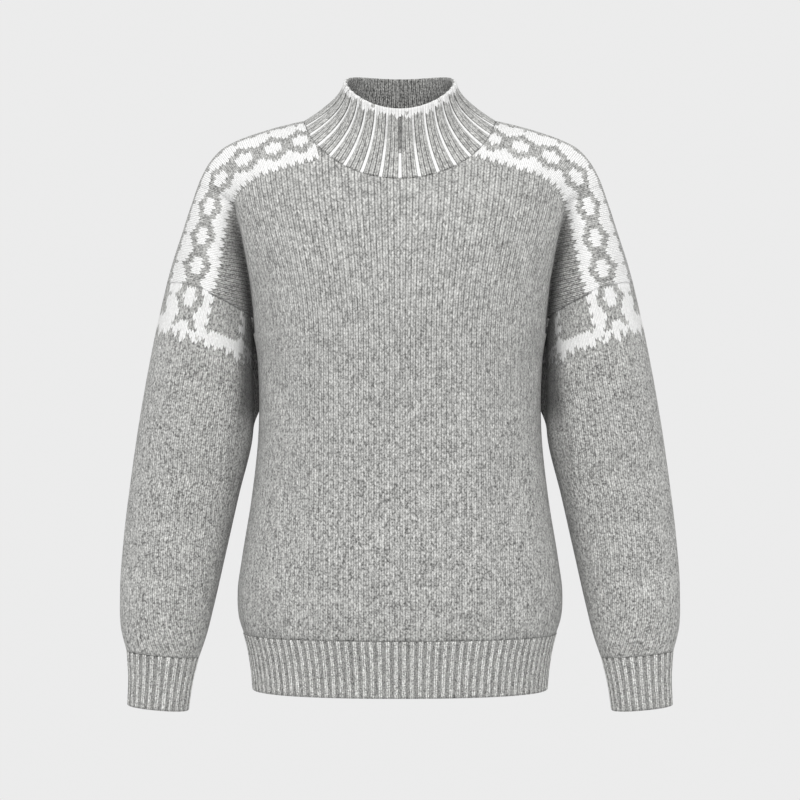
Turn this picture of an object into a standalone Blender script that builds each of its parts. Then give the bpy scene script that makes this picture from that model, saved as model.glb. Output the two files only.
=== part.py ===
"""Mock neck sweater, filled out and hollow: two body panels, two sleeves and four ribbed bands."""

import math

import bmesh
import bpy
import numpy as np

# Lengths are in millimetres until a mesh is made. +Z is up, the front faces -Y.
MM = 0.001
WALL = 2.6
SEAM_GAP = 0.3
FRONT = -1
BACK = 1

# Heights of the two body seams, and the point under the arm where the side seam ends.
HEM_SEAM_Z = -545.0
UNDERARM_Z = -223.0
UNDERARM_X = 158.0

# How square a section is: 2 is an ellipse.
BODY_POWER = 2.3
SLEEVE_POWER = 2.1

# Body below the underarm: height, half width, depth of the front, depth of the back.
BODY_SECTIONS = (
    (-604.0, 160.5, 106.0, 96.0),
    (-583.0, 162.0, 108.0, 98.0),
    (-557.0, 166.3, 112.5, 102.0),
    (-545.0, 169.5, 115.5, 104.5),
    (-531.0, 172.8, 118.5, 107.0),
    (-500.0, 175.0, 121.5, 109.5),
    (-466.0, 170.6, 121.5, 108.0),
    (-400.0, 160.0, 120.5, 104.0),
    (-324.0, 152.3, 123.0, 102.0),
    (-270.0, 152.5, 128.0, 104.5),
    (-241.0, 154.7, 131.0, 107.5),
    (-223.0, 158.0, 132.0, 109.0),
)

# Torso and upper arm above the underarm: height, half width of the torso, inner edge
# of the arm, half depth of the arm. The two overlap more and more toward the shoulder.
SHOULDER_SECTIONS = (
    (-223.0, 158.0, 158.0, 52.0),
    (-205.0, 159.8, 156.4, 52.0),
    (-166.0, 168.0, 150.0, 52.0),
    (-122.0, 182.0, 139.0, 50.0),
    (-84.0, 194.0, 124.0, 46.0),
    (-52.0, 201.0, 108.0, 39.0),
    (-26.0, 204.0, 96.0, 29.0),
    (10.0, 206.0, 90.0, 12.0),
)

# Shoulder line as seen from the front, from the middle of the neck down the upper arm.
SHOULDER_LINE = (
    (0.0, 9.0),
    (60.0, 8.2),
    (102.6, 5.4),
    (121.5, 3.6),
    (150.7, -4.0),
    (176.0, -13.5),
    (192.0, -23.0),
    (205.0, -37.0),
    (214.5, -54.0),
    (224.0, -80.0),
    (236.0, -117.0),
    (244.5, -143.0),
    (251.6, -168.5),
    (258.0, -194.0),
    (266.0, -228.0),
)
NECK_X = 102.6
TIP_X = 251.6

# Armhole seam as seen from the front, from the underarm point up to the shoulder line.
ARMHOLE_LINE = (
    (158.0, -223.0),
    (158.3, -214.0),
    (160.5, -204.5),
    (174.0, -194.5),
    (194.0, -183.5),
    (213.0, -174.5),
    (234.0, -169.8),
    (251.6, -168.5),
)

# Chest depth, roundness toward the shoulder, and height of the neck seam at the middle.
DEPTH = {FRONT: 132.0, BACK: 109.0}
ROUNDNESS = {FRONT: 2.0, BACK: 2.2}
NECK_SEAM_Z = {FRONT: -60.0, BACK: -12.0}
NECK_SIDE_Z = 5.4
NECK_DIP_POWER = 1.3
JOIN_POWER = 5.0

# Share of a panel's half width that ends on the neck seam, and how the stitches fan out.
NECK_SHARE = 0.375
FAN_POWER = 1.35
EDGE_PULL_POWER = 4.0
MIDDLE_TURN = 0.8
CREASE_PASSES = 3

# Collar rim: half width, middle and half depth, and its height at front, side and back.
RIM_HALF_WIDTH = 62.0
RIM_MIDDLE_Y = -14.0
RIM_HALF_DEPTH = 64.0
RIM_FRONT_Z = 14.0
RIM_SIDE_Z = 48.5
RIM_BACK_Z = 58.0
COLLAR_FLARE = 1.6

# The neck seam turns fast beside the shoulder seams, so the collar stands off more there.
NECK_TURN_GAP = 0.45
NECK_TURN_REACH = 45.0

# Sleeve: x and height of the outer edge, x and height of the inner edge, half depth,
# and how far the arm hangs forward.
SLEEVE_SECTIONS = (
    (251.6, -168.5, 158.0, -223.0, 52.0, 0.0),
    (261.0, -209.0, 158.6, -251.0, 52.5, 0.0),
    (270.5, -256.0, 158.2, -288.0, 52.0, -1.0),
    (280.5, -313.0, 159.0, -334.0, 51.0, -2.5),
    (289.5, -376.0, 173.5, -396.0, 49.0, -5.0),
    (297.0, -440.0, 187.5, -459.0, 46.0, -9.0),
    (301.5, -500.0, 200.5, -517.0, 43.0, -13.0),
    (300.5, -540.0, 208.5, -549.0, 39.0, -16.5),
    (296.0, -563.5, 215.5, -570.5, 34.0, -18.0),
)
ARMHOLE_REACH = 80.0

# Cuff, in the same columns as the sleeve.
CUFF_SECTIONS = (
    (295.0, -563.95, 216.5, -570.75, 33.0, -18.0),
    (293.0, -590.0, 223.0, -596.5, 29.5, -19.5),
    (293.2, -621.0, 227.5, -627.0, 28.5, -21.0),
)

# Soft folds: x and height of one end, x and height of the other, half width, depth.
# A negative depth is a ridge. The sleeve's are for the arm on the +X side.
FRONT_FOLDS = (
    (-148.0, -236.0, -100.0, -330.0, 13.0, 5.0),
    (146.0, -238.0, 104.0, -318.0, 12.0, 4.5),
    (-122.0, -350.0, -104.0, -530.0, 16.0, 4.5),
    (-58.0, -430.0, -52.0, -560.0, 15.0, 3.0),
    (10.0, -390.0, 4.0, -520.0, 18.0, 2.4),
    (68.0, -410.0, 60.0, -555.0, 15.0, 3.2),
    (120.0, -335.0, 106.0, -520.0, 16.0, 4.8),
)
BACK_FOLDS = (
    (-146.0, -238.0, -92.0, -345.0, 14.0, 5.0),
    (148.0, -236.0, 96.0, -352.0, 13.0, 5.5),
    (-108.0, -380.0, -96.0, -550.0, 16.0, 4.4),
    (-40.0, -340.0, -34.0, -540.0, 18.0, 3.2),
    (30.0, -420.0, 36.0, -560.0, 16.0, 3.0),
    (104.0, -370.0, 92.0, -545.0, 17.0, 4.2),
)
SLEEVE_FOLDS = (
    (168.0, -300.0, 232.0, -262.0, 13.0, 3.6),
    (180.0, -392.0, 244.0, -362.0, 12.0, 4.4),
    (186.0, -436.0, 252.0, -424.0, 11.0, 3.6),
    (288.0, -352.0, 246.0, -388.0, 12.0, 3.0),
    (298.0, -468.0, 250.0, -486.0, 12.0, 3.4),
    (212.0, -538.0, 262.0, -524.0, 9.0, 3.0),
    (296.0, -536.0, 256.0, -550.0, 9.0, 2.6),
)
FOLD_FADE_DEPTH = 45.0

# Ribs: how many go round, how high they stand, and where each column of a rib lies.
COLLAR_RIBS = 30
COLLAR_RIB_HEIGHT = 2.4
COLLAR_RIB_COLUMNS = ((0.0, 0.0), (0.24, 1.0), (0.76, 1.0))
HEM_RIBS = 104
CUFF_RIBS = 26
BAND_RIB_HEIGHT = 1.7
BAND_RIB_COLUMNS = ((0.0, 0.0), (0.5, 1.0))

# Grid of each piece.
HALF_COLUMNS = 16
LOWER_ROWS = 11
YOKE_ROWS = 11
SLEEVE_ROWS = 17
COLLAR_ROWS = 6
BAND_ROWS = 2
CURVE_STEPS = 160

COLOURS = {
    "grey_knit": (0.43, 0.43, 0.42, 1.0),
    "rib_knit": (0.46, 0.46, 0.45, 1.0),
}


def clear_scene():
    for item in list(bpy.data.objects):
        bpy.data.objects.remove(item)


def column(table, number):
    return np.array([row[number] for row in table], float)


def smooth(keys, values, at):
    """Value at `at` on a curve through the points, with no corner at any of them."""
    slopes = np.gradient(values, keys)
    last = len(keys) - 2
    start = np.clip(np.searchsorted(keys, at, side="right") - 1, 0, last)
    span = keys[start + 1] - keys[start]
    part = np.clip((at - keys[start]) / span, 0.0, 1.0)
    ease = part * part * (3.0 - 2.0 * part)
    leave = part * (1.0 - part) ** 2 * span * slopes[start]
    arrive = part * part * (part - 1.0) * span * slopes[start + 1]
    return values[start] * (1.0 - ease) + values[start + 1] * ease + leave + arrive


def lengths_along(points):
    steps = np.linalg.norm(np.diff(points, axis=0), axis=1)
    return np.concatenate(([0.0], np.cumsum(steps)))


def at_share(points, share):
    """Point at a share of the length of a line of points."""
    run = lengths_along(points)
    return np.array([np.interp(share * run[-1], run, points[:, axis]) for axis in range(points.shape[1])])


def smooth_line(table):
    """The table's points as a fine line, evenly bent."""
    rough = np.array(table, float)
    run = lengths_along(rough)
    fine = np.linspace(0.0, run[-1], 4 * CURVE_STEPS)
    return np.stack([smooth(run, rough[:, axis], fine) for axis in range(rough.shape[1])], axis=1)


OUTLINE = smooth_line(SHOULDER_LINE)


def outline_height(x):
    return np.interp(x, OUTLINE[:, 0], OUTLINE[:, 1])


def outline_x(z):
    return np.interp(-z, -OUTLINE[:, 1], OUTLINE[:, 0])


def body_size(z, side):
    heights = column(BODY_SECTIONS, 0)
    half_width = smooth(heights, column(BODY_SECTIONS, 1), z)
    depth = smooth(heights, column(BODY_SECTIONS, 2 if side == FRONT else 3), z)
    return half_width, depth


def body_quarter(z, side):
    """Fine quarter of a body section, from the middle to the side, as x and depth."""
    half_width, depth = body_size(z, side)
    turn = np.linspace(0.0, math.pi / 2, CURVE_STEPS)
    x = half_width * np.sin(turn) ** (2.0 / BODY_POWER)
    back = depth * np.abs(np.cos(turn)) ** (2.0 / BODY_POWER)
    back[-1] = 0.0
    return np.stack([x, back], axis=1)


def yoke_depth(x, z, side):
    """How far the cloth above the underarm stands from the plane of the shoulder line."""
    heights = column(SHOULDER_SECTIONS, 0)
    torso_half = smooth(heights, column(SHOULDER_SECTIONS, 1), z)
    arm_inner = smooth(heights, column(SHOULDER_SECTIONS, 2), z)
    arm_depth = smooth(heights, column(SHOULDER_SECTIONS, 3), z)
    across = max(0.0, 1.0 - (x / torso_half) ** BODY_POWER) ** (1.0 / BODY_POWER)
    power = ROUNDNESS[side]
    rise = (z - UNDERARM_Z) / (outline_height(x) - UNDERARM_Z)
    upward = max(0.0, 1.0 - min(1.0, max(0.0, rise)) ** power) ** (1.0 / power)
    torso = DEPTH[side] * across * upward
    arm_outer = outline_x(z)
    offset = (x - (arm_inner + arm_outer) / 2) / ((arm_outer - arm_inner) / 2)
    arm = arm_depth * math.sqrt(max(0.0, 1.0 - offset * offset))
    return (torso**JOIN_POWER + arm**JOIN_POWER) ** (1.0 / JOIN_POWER)


def fold_depth(x, z, folds):
    """Sum of the soft folds at a place, each fading out toward its two ends."""
    total = 0.0
    for x0, z0, x1, z1, half_width, depth in folds:
        run = math.hypot(x1 - x0, z1 - z0)
        along = ((x - x0) * (x1 - x0) + (z - z0) * (z1 - z0)) / run
        off = ((x - x0) * (z1 - z0) - (z - z0) * (x1 - x0)) / run
        past = max(0.0, abs(along - run / 2) - run / 4) / (run / 4)
        total += depth * math.exp(-((off / half_width) ** 2) - past * past)
    return total


def neck_line(side):
    """Neck seam from the middle to the shoulder, as x, height and depth."""
    line = []
    for turn in np.linspace(0.0, math.pi / 2, CURVE_STEPS):
        x = NECK_X * math.sin(turn)
        dip = abs(math.cos(turn)) ** NECK_DIP_POWER
        z = NECK_SIDE_Z + (NECK_SEAM_Z[side] - NECK_SIDE_Z) * dip
        line.append((x, z, yoke_depth(x, z, side)))
    line[-1] = (NECK_X, NECK_SIDE_Z, 0.0)
    return np.array(line)


def shoulder_line():
    inside = (OUTLINE[:, 0] > NECK_X) & (OUTLINE[:, 0] < TIP_X)
    start = np.array([[NECK_X, NECK_SIDE_Z]])
    end = np.array([[TIP_X, outline_height(TIP_X)]])
    return np.concatenate([start, OUTLINE[inside], end])


def armhole_line(side):
    """Armhole seam from the underarm to the shoulder line, as x, height and depth."""
    flat = smooth_line(ARMHOLE_LINE)
    depth = [yoke_depth(x, z, side) for x, z in flat]
    depth[0] = 0.0
    depth[-1] = 0.0
    return np.concatenate([flat, np.array(depth)[:, None]], axis=1)


def top_point(side, share, neck, shoulder):
    if share <= NECK_SHARE:
        return at_share(neck, share / NECK_SHARE)[:2]
    return at_share(shoulder, (share - NECK_SHARE) / (1.0 - NECK_SHARE))


def panel_shares():
    return np.linspace(-1.0, 1.0, 2 * HALF_COLUMNS + 1)


def place(x, z, depth, side, folds):
    """Point of a panel, with its folds pressed in and let go toward the side seams."""
    fade = min(1.0, depth / FOLD_FADE_DEPTH)
    return (x, side * (depth - fade * fold_depth(x, z, folds)), z)


def yoke_row(side, t, armhole, neck, shoulder):
    """One row of a panel above the underarm, t from 0 at the underarm to 1 at the shoulder."""
    quarter = body_quarter(UNDERARM_Z, side)
    folds = FRONT_FOLDS if side == FRONT else BACK_FOLDS
    seam = at_share(armhole, t)
    tip = np.array([TIP_X, outline_height(TIP_X)])
    full_turn = math.sin(t * math.pi / 2)
    plain = (
        UNDERARM_X + (tip[0] - UNDERARM_X) * full_turn**FAN_POWER,
        UNDERARM_Z + (tip[1] - UNDERARM_Z) * full_turn,
    )
    row = []
    for signed in panel_shares():
        share = abs(signed)
        low_x = at_share(quarter, share)[0]
        high_x, high_z = top_point(side, share, neck, shoulder)
        turn = MIDDLE_TURN + (math.pi / 2 - MIDDLE_TURN) * min(1.0, share / NECK_SHARE) ** 1.5
        rise = math.sin(turn * t) / math.sin(turn)
        pull = share**EDGE_PULL_POWER
        x = low_x + (high_x - low_x) * rise**FAN_POWER + pull * (seam[0] - plain[0])
        z = UNDERARM_Z + (high_z - UNDERARM_Z) * rise + pull * (seam[1] - plain[1])
        depth = yoke_depth(x, z, side)
        if share > 0.999:
            x, z, depth = seam
        if t > 0.999:
            x, z = high_x, high_z
            depth = yoke_depth(x, z, side) if share < NECK_SHARE - 0.001 else 0.0
        row.append(place(math.copysign(x, signed), z, depth, side, folds))
    return row


def lower_row(side, z):
    quarter = body_quarter(z, side)
    folds = FRONT_FOLDS if side == FRONT else BACK_FOLDS
    row = []
    for signed in panel_shares():
        x, depth = at_share(quarter, abs(signed))
        row.append(place(math.copysign(x, signed), z, depth, side, folds))
    return row


def ramp(value, start, end):
    """0 before start, 1 after end, and an even climb between."""
    part = min(1.0, max(0.0, (value - start) / (end - start)))
    return part * part * (3.0 - 2.0 * part)


def ease_crease(rows):
    """Evens out the depth around the crease between chest and arm, where the rows are far apart."""
    for _ in range(CREASE_PASSES):
        depth = rows[:, :, 1].copy()
        for row in range(LOWER_ROWS, LOWER_ROWS + YOKE_ROWS):
            t = (row - LOWER_ROWS) / YOKE_ROWS
            for number, signed in enumerate(panel_shares()[1:-1], start=1):
                amount = ramp(abs(signed), 0.5, 0.75) * (1.0 - ramp(t, 0.5, 0.8))
                around = depth[row - 1 : row + 2, number - 1 : number + 2]
                even = np.array([1.0, 2.0, 1.0]) @ around @ np.array([1.0, 2.0, 1.0]) / 16
                rows[row, number, 1] += amount * (even - rows[row, number, 1])


def panel_surface(side):
    """Outer points of a panel, rows from the hem seam up to the neck and shoulders."""
    armhole = armhole_line(side)
    neck = neck_line(side)
    shoulder = shoulder_line()
    rows = [lower_row(side, z) for z in np.linspace(HEM_SEAM_Z, UNDERARM_Z, LOWER_ROWS + 1)]
    for step in range(1, YOKE_ROWS + 1):
        rows.append(yoke_row(side, step / YOKE_ROWS, armhole, neck, shoulder))
    rows = np.array(rows)
    ease_crease(rows)
    return rows


def tube_ring(section, turn_count):
    """Ring of a sleeve or cuff, from the inner edge over the front to the outer edge and back."""
    outer = np.array([section[0], 0.0, section[1]])
    inner = np.array([section[2], 0.0, section[3]])
    middle = (outer + inner) / 2 + np.array([0.0, section[5], 0.0])
    ring = []
    for step in range(turn_count):
        turn = 2 * math.pi * step / turn_count
        cosine = math.copysign(abs(math.cos(turn)) ** (2.0 / SLEEVE_POWER), math.cos(turn))
        sine = math.copysign(abs(math.sin(turn)) ** (2.0 / SLEEVE_POWER), math.sin(turn))
        ring.append(middle + cosine * (inner - outer) / 2 + np.array([0.0, -section[4] * sine, 0.0]))
    return np.array(ring)


def table_section(table, share):
    middles = np.array([((row[0] + row[2]) / 2, (row[1] + row[3]) / 2) for row in table])
    run = lengths_along(middles)
    return [float(smooth(run, column(table, number), share * run[-1])) for number in range(6)]


def sleeve_surface(armhole_ring):
    """Outer points of the +X sleeve, from the armhole seam down to the cuff seam."""
    turn_count = len(armhole_ring)
    start = tube_ring(SLEEVE_SECTIONS[0], turn_count)
    bend = armhole_ring - start
    middles = np.array([((row[0] + row[2]) / 2, (row[1] + row[3]) / 2) for row in SLEEVE_SECTIONS])
    total = lengths_along(middles)[-1]
    rings = [armhole_ring]
    for step in range(1, SLEEVE_ROWS + 1):
        share = step / SLEEVE_ROWS
        section = table_section(SLEEVE_SECTIONS, share)
        fade = max(0.0, 1.0 - share * total / ARMHOLE_REACH) ** 2
        ring = tube_ring(section, turn_count) + fade * bend
        for point in ring:
            depth = point[1] - section[5]
            hollow = min(1.0, abs(depth) / FOLD_FADE_DEPTH) * fold_depth(point[0], point[2], SLEEVE_FOLDS)
            point[1] -= math.copysign(hollow, depth) * (1.0 - abs(2 * share - 1) ** 8)
        rings.append(ring)
    return np.array(rings)


def outward(points, closed):
    """Unit direction out of a surface of rows and columns, before its sign is chosen."""
    if closed:
        across = np.roll(points, -1, axis=1) - np.roll(points, 1, axis=1)
    else:
        across = np.gradient(points, axis=1)
    upward = np.gradient(points, axis=0)
    direction = np.cross(across, upward)
    return direction / np.linalg.norm(direction, axis=2, keepdims=True)


def outward_tube(rings):
    """Unit direction out of a tube given as rings of points."""
    out = outward(rings, True)
    if np.sum(out * (rings - rings.mean(axis=1, keepdims=True))) < 0:
        out = -out
    return out


def level_end(directions, ring):
    """Lays the directions of a tube's end ring in the plane of that ring."""
    width = ring[0] - ring[len(ring) // 2]
    axis = np.cross(width, ring[len(ring) // 4] - ring[3 * len(ring) // 4])
    axis = axis / np.linalg.norm(axis)
    directions -= (directions @ axis)[:, None] * axis
    directions /= np.linalg.norm(directions, axis=1, keepdims=True)


def share_direction(*places):
    """Gives the pieces that meet at a seam point one direction there."""
    total = sum(array[index] for array, index in places)
    total = total / np.linalg.norm(total)
    for array, index in places:
        array[index] = total


def body_and_sleeves():
    """Outer points and directions of both panels and both sleeves."""
    front = panel_surface(FRONT)
    back = panel_surface(BACK)
    front_out = outward(front, False)
    back_out = -outward(back, False)
    for out in (front_out, back_out):
        out[0, :, 2] = 0.0
        out[0] /= np.linalg.norm(out[0], axis=1, keepdims=True)
    last = front.shape[1] - 1
    top = front.shape[0] - 1
    sleeves = {}
    outs = {}
    for name, edge in (("sleeve_left", last), ("sleeve_right", 0)):
        up = front[LOWER_ROWS:, edge]
        down = back[LOWER_ROWS:, edge][::-1]
        ring = np.concatenate([up, down[1:-1]])
        mirror = np.array([math.copysign(1.0, ring[0, 0]), 1.0, 1.0])
        sleeves[name] = sleeve_surface(ring * mirror) * mirror
        outs[name] = outward_tube(sleeves[name])
        level_end(outs[name][-1], sleeves[name][-1])
    for number in range(front.shape[1]):
        share = abs(panel_shares()[number])
        if NECK_SHARE - 0.001 <= share < 0.999:
            share_direction((front_out, (top, number)), (back_out, (top, number)))
    for name, edge in (("sleeve_left", last), ("sleeve_right", 0)):
        for row in range(LOWER_ROWS):
            share_direction((front_out, (row, edge)), (back_out, (row, edge)))
        for step in range(1, YOKE_ROWS):
            share_direction((front_out, (LOWER_ROWS + step, edge)), (outs[name], (0, step)))
            behind = 2 * YOKE_ROWS - step
            share_direction((back_out, (LOWER_ROWS + step, edge)), (outs[name], (0, behind)))
        for row, step in ((LOWER_ROWS, 0), (top, YOKE_ROWS)):
            share_direction((front_out, (row, edge)), (back_out, (row, edge)), (outs[name], (0, step)))
    return front, front_out, back, back_out, sleeves, outs


def part_at_seam(points, side):
    """Draws the side seams and shoulder seams of a panel apart from the other panel's."""
    top = points.shape[0] - 1
    points[: LOWER_ROWS + 1, 0, 1] += side * SEAM_GAP / 2
    points[: LOWER_ROWS + 1, -1, 1] += side * SEAM_GAP / 2
    for number, signed in enumerate(panel_shares()):
        if abs(signed) >= NECK_SHARE - 0.001:
            points[top, number, 1] += side * SEAM_GAP / 2
    for edge, way in ((0, 1.0), (-1, -1.0)):
        points[LOWER_ROWS, edge, 0] += way * SEAM_GAP / 2


def draw_down(rings, gap):
    """Moves a tube's first ring along the tube, clear of the seam it starts from."""
    step = rings[1] - rings[0]
    rings[0] += np.reshape(gap, (-1, 1)) * step / np.linalg.norm(step, axis=1, keepdims=True)


def wall_mesh(name, outer, inner, closed, slot):
    """Closed wall between two grids of the same size."""
    rows, columns = outer.shape[:2]
    points = np.concatenate([outer.reshape(-1, 3), inner.reshape(-1, 3)])
    base = rows * columns
    ends = columns if closed else columns - 1
    faces = []
    for row in range(rows - 1):
        for left in range(ends):
            right = (left + 1) % columns
            quad = (row * columns + left, row * columns + right)
            quad += ((row + 1) * columns + right, (row + 1) * columns + left)
            faces.append(quad)
            faces.append(tuple(base + corner for corner in reversed(quad)))
    for left in range(ends):
        right = (left + 1) % columns
        for row in (0, rows - 1):
            one = row * columns + left
            two = row * columns + right
            faces.append((one, two, base + two, base + one))
    if not closed:
        for row in range(rows - 1):
            for left in (0, columns - 1):
                one = row * columns + left
                two = (row + 1) * columns + left
                faces.append((one, two, base + two, base + one))
    make_object(name, points, faces, slot)


def ribbed_mesh(name, outer, inner, slot):
    """Closed tube wall whose inside has fewer columns than its ribbed outside."""
    rows, wide = outer.shape[:2]
    narrow = inner.shape[1]
    ratio = wide // narrow
    points = np.concatenate([outer.reshape(-1, 3), inner.reshape(-1, 3)])
    base = rows * wide
    faces = []
    for row in range(rows - 1):
        for left in range(wide):
            right = (left + 1) % wide
            one = row * wide
            two = (row + 1) * wide
            faces.append((one + left, one + right, two + right, two + left))
        for left in range(narrow):
            right = (left + 1) % narrow
            one = base + row * narrow
            two = base + (row + 1) * narrow
            faces.append((one + right, one + left, two + left, two + right))
    for row in (0, rows - 1):
        for left in range(narrow):
            near = base + row * narrow + left
            far = base + row * narrow + (left + 1) % narrow
            rim = [row * wide + (left * ratio + step) % wide for step in range(ratio + 1)]
            middle = ratio // 2
            for step in range(ratio):
                corner = near if step < middle else far
                faces.append((corner, rim[step], rim[step + 1]))
            faces.append((near, rim[middle], far))
    make_object(name, points, faces, slot)


def make_object(name, points, faces, slot):
    data = bpy.data.meshes.new(name)
    data.from_pydata([tuple(point * MM) for point in points], [], faces)
    shape = bmesh.new()
    shape.from_mesh(data)
    bmesh.ops.recalc_face_normals(shape, faces=shape.faces)
    for face in shape.faces:
        face.smooth = True
    shape.to_mesh(data)
    shape.free()
    item = bpy.data.objects.new(name, data)
    bpy.context.scene.collection.objects.link(item)
    paint = bpy.data.materials.new(name + "_" + slot)
    paint.use_nodes = True
    shader = paint.node_tree.nodes["Principled BSDF"]
    shader.inputs["Base Color"].default_value = COLOURS[slot]
    shader.inputs["Roughness"].default_value = 0.9
    data.materials.append(paint)


def add_panel(name, points, out, side):
    inner = points - WALL * out
    part_at_seam(points, side)
    part_at_seam(inner, side)
    wall_mesh(name, points, inner, False, "grey_knit")


def add_sleeve(name, rings, out):
    inner = rings - WALL * out
    draw_down(rings, SEAM_GAP)
    draw_down(inner, SEAM_GAP)
    aside = math.copysign(SEAM_GAP / 2, rings[0, 0, 0])
    rings[0, 0, 0] += aside
    inner[0, 0, 0] += aside
    wall_mesh(name, rings, inner, True, "grey_knit")


def rib_columns(ribs, pattern):
    """Share round the tube and share of the full rib height, for each outer column."""
    return [((number + place) / ribs, height) for number in range(ribs) for place, height in pattern]


def closed_at(points, share):
    """Point at a share of a ring's length, the ring closing on its first point."""
    return at_share(np.concatenate([points, points[:1]]), share % 1.0)


def raise_ribs(rows, inner_rows, columns, narrow, row_heights):
    """Ribbed outer grid and plain inner grid from smooth rings and their inner rings."""
    outer = []
    inner = []
    for ring, deep, height in zip(rows, inner_rows, row_heights):
        line = []
        for number, (_, part) in enumerate(columns):
            out = ring[number] - deep[number]
            line.append(ring[number] + out / np.linalg.norm(out) * part * height)
        outer.append(line)
        inner.append(deep[:: len(columns) // narrow])
    return np.array(outer), np.array(inner)


def neck_order(front, front_out, back, back_out):
    """Points of both panels on the neck seam, once round from the middle of the front."""
    near = [number for number, signed in enumerate(panel_shares()) if abs(signed) <= NECK_SHARE + 0.001]
    order = [(front, front_out, number) for number in near if number >= HALF_COLUMNS]
    order += [(back, back_out, number) for number in reversed(near[:-1])]
    order += [(front, front_out, number) for number in near[1:] if number < HALF_COLUMNS]
    return order


def neck_seam(front, front_out, back, back_out):
    """Neck seam of both panels as one ring of outer points and one of inner points."""
    top = front.shape[0] - 1
    order = neck_order(front, front_out, back, back_out)
    outer = np.array([points[top, number] for points, _, number in order])
    run = lengths_along(np.concatenate([outer, outer[:1]]))
    collar = collar_surface(outer, run[:-1] / run[-1])
    for (_, out, number), own in zip(order, outward_tube(collar)[0]):
        both = out[top, number] + own
        out[top, number] = both / np.linalg.norm(both)
    for share in (-NECK_SHARE, NECK_SHARE):
        number = HALF_COLUMNS + round(share * HALF_COLUMNS)
        share_direction((front_out, (top, number)), (back_out, (top, number)))
    inner = np.array([points[top, number] - WALL * out[top, number] for points, out, number in order])
    return outer, inner


def rim_point(turn):
    second = (RIM_FRONT_Z + RIM_BACK_Z) / 4 - RIM_SIDE_Z / 2
    level = RIM_SIDE_Z + second
    tilt = (RIM_FRONT_Z - RIM_BACK_Z) / 2
    x = RIM_HALF_WIDTH * math.sin(turn)
    y = RIM_MIDDLE_Y - RIM_HALF_DEPTH * math.cos(turn)
    return (x, y, level + tilt * math.cos(turn) + second * math.cos(2 * turn))


def collar_surface(seam, shares):
    """Smooth rings of the collar from the neck seam up to the rim."""
    rim = np.array([rim_point(turn) for turn in np.linspace(0.0, 2 * math.pi, 4 * CURVE_STEPS)])
    low = np.array([closed_at(seam, share) for share in shares])
    high = np.array([at_share(rim, share) for share in shares])
    rows = []
    for rise in np.linspace(0.0, 1.0, COLLAR_ROWS + 1):
        flare = (1.0 - rise) ** COLLAR_FLARE
        rows.append(high + (low - high) * np.array([flare, flare, 1.0 - rise]))
    return np.array(rows)


def add_collar(seam_outer, seam_inner):
    """Ribbed collar, flaring down to the neck seam."""
    columns = rib_columns(COLLAR_RIBS, COLLAR_RIB_COLUMNS)
    shares = [share for share, _ in columns]
    rows = collar_surface(seam_outer, shares)
    inner_rows = rows - WALL * outward_tube(rows)
    run = lengths_along(np.concatenate([seam_outer, seam_outer[:1]]))
    loop = np.concatenate([seam_inner, seam_inner[:1]])
    along = np.array(shares) * run[-1]
    inner_rows[0] = np.stack([np.interp(along, run, loop[:, axis]) for axis in range(3)], axis=1)
    beside = np.maximum(0.0, 1.0 - np.abs(rows[0, :, 1]) / NECK_TURN_REACH)
    draw_down(rows, SEAM_GAP + NECK_TURN_GAP * beside)
    draw_down(inner_rows, SEAM_GAP + NECK_TURN_GAP * beside)
    rise = np.linspace(0.0, 1.0, COLLAR_ROWS + 1)
    heights = COLLAR_RIB_HEIGHT * (0.45 + 0.55 * np.minimum(1.0, 3 * rise))
    outer, inner = raise_ribs(rows, inner_rows, columns, COLLAR_RIBS, heights)
    ribbed_mesh("collar", outer, inner, "rib_knit")


def add_band(name, rings, columns, narrow):
    """Ribbed hem or cuff from its smooth rings."""
    out = outward_tube(rings)
    level_end(out[0], rings[0])
    level_end(out[-1], rings[-1])
    low = rings - BAND_RIB_HEIGHT / 2 * out
    heights = [BAND_RIB_HEIGHT] * len(rings)
    outer, inner = raise_ribs(low, rings - WALL * out, columns, narrow, heights)
    ribbed_mesh(name, outer, inner, "rib_knit")


def hem_rings(columns):
    rings = []
    bottom = BODY_SECTIONS[0][0]
    for z in np.linspace(HEM_SEAM_Z - SEAM_GAP, bottom, BAND_ROWS + 1):
        ahead = body_quarter(z, FRONT)
        behind = body_quarter(z, BACK)
        loop = [(x, -depth, z) for x, depth in ahead]
        loop += [(x, depth, z) for x, depth in behind[::-1][1:]]
        loop += [(-x, depth, z) for x, depth in behind[1:]]
        loop += [(-x, -depth, z) for x, depth in ahead[::-1][1:-1]]
        rings.append([closed_at(np.array(loop), share) for share, _ in columns])
    return np.array(rings)


def cuff_rings(columns, side):
    rings = []
    for step in range(BAND_ROWS + 1):
        section = table_section(CUFF_SECTIONS, step / BAND_ROWS)
        loop = tube_ring(section, 2 * CURVE_STEPS)
        ring = np.array([closed_at(loop, share) for share, _ in columns])
        rings.append(ring * np.array([side, 1.0, 1.0]))
    return np.array(rings)


def main():
    clear_scene()
    front, front_out, back, back_out, sleeves, outs = body_and_sleeves()
    seam_outer, seam_inner = neck_seam(front, front_out, back, back_out)
    add_panel("front", front, front_out, FRONT)
    add_panel("back", back, back_out, BACK)
    for name in sleeves:
        add_sleeve(name, sleeves[name], outs[name])
    add_collar(seam_outer, seam_inner)
    hem_columns = rib_columns(HEM_RIBS, BAND_RIB_COLUMNS)
    add_band("hem_rib", hem_rings(hem_columns), hem_columns, HEM_RIBS // 2)
    cuff_columns = rib_columns(CUFF_RIBS, BAND_RIB_COLUMNS)
    add_band("cuff_left", cuff_rings(cuff_columns, 1.0), cuff_columns, CUFF_RIBS)
    add_band("cuff_right", cuff_rings(cuff_columns, -1.0), cuff_columns, CUFF_RIBS)


main()
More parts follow.
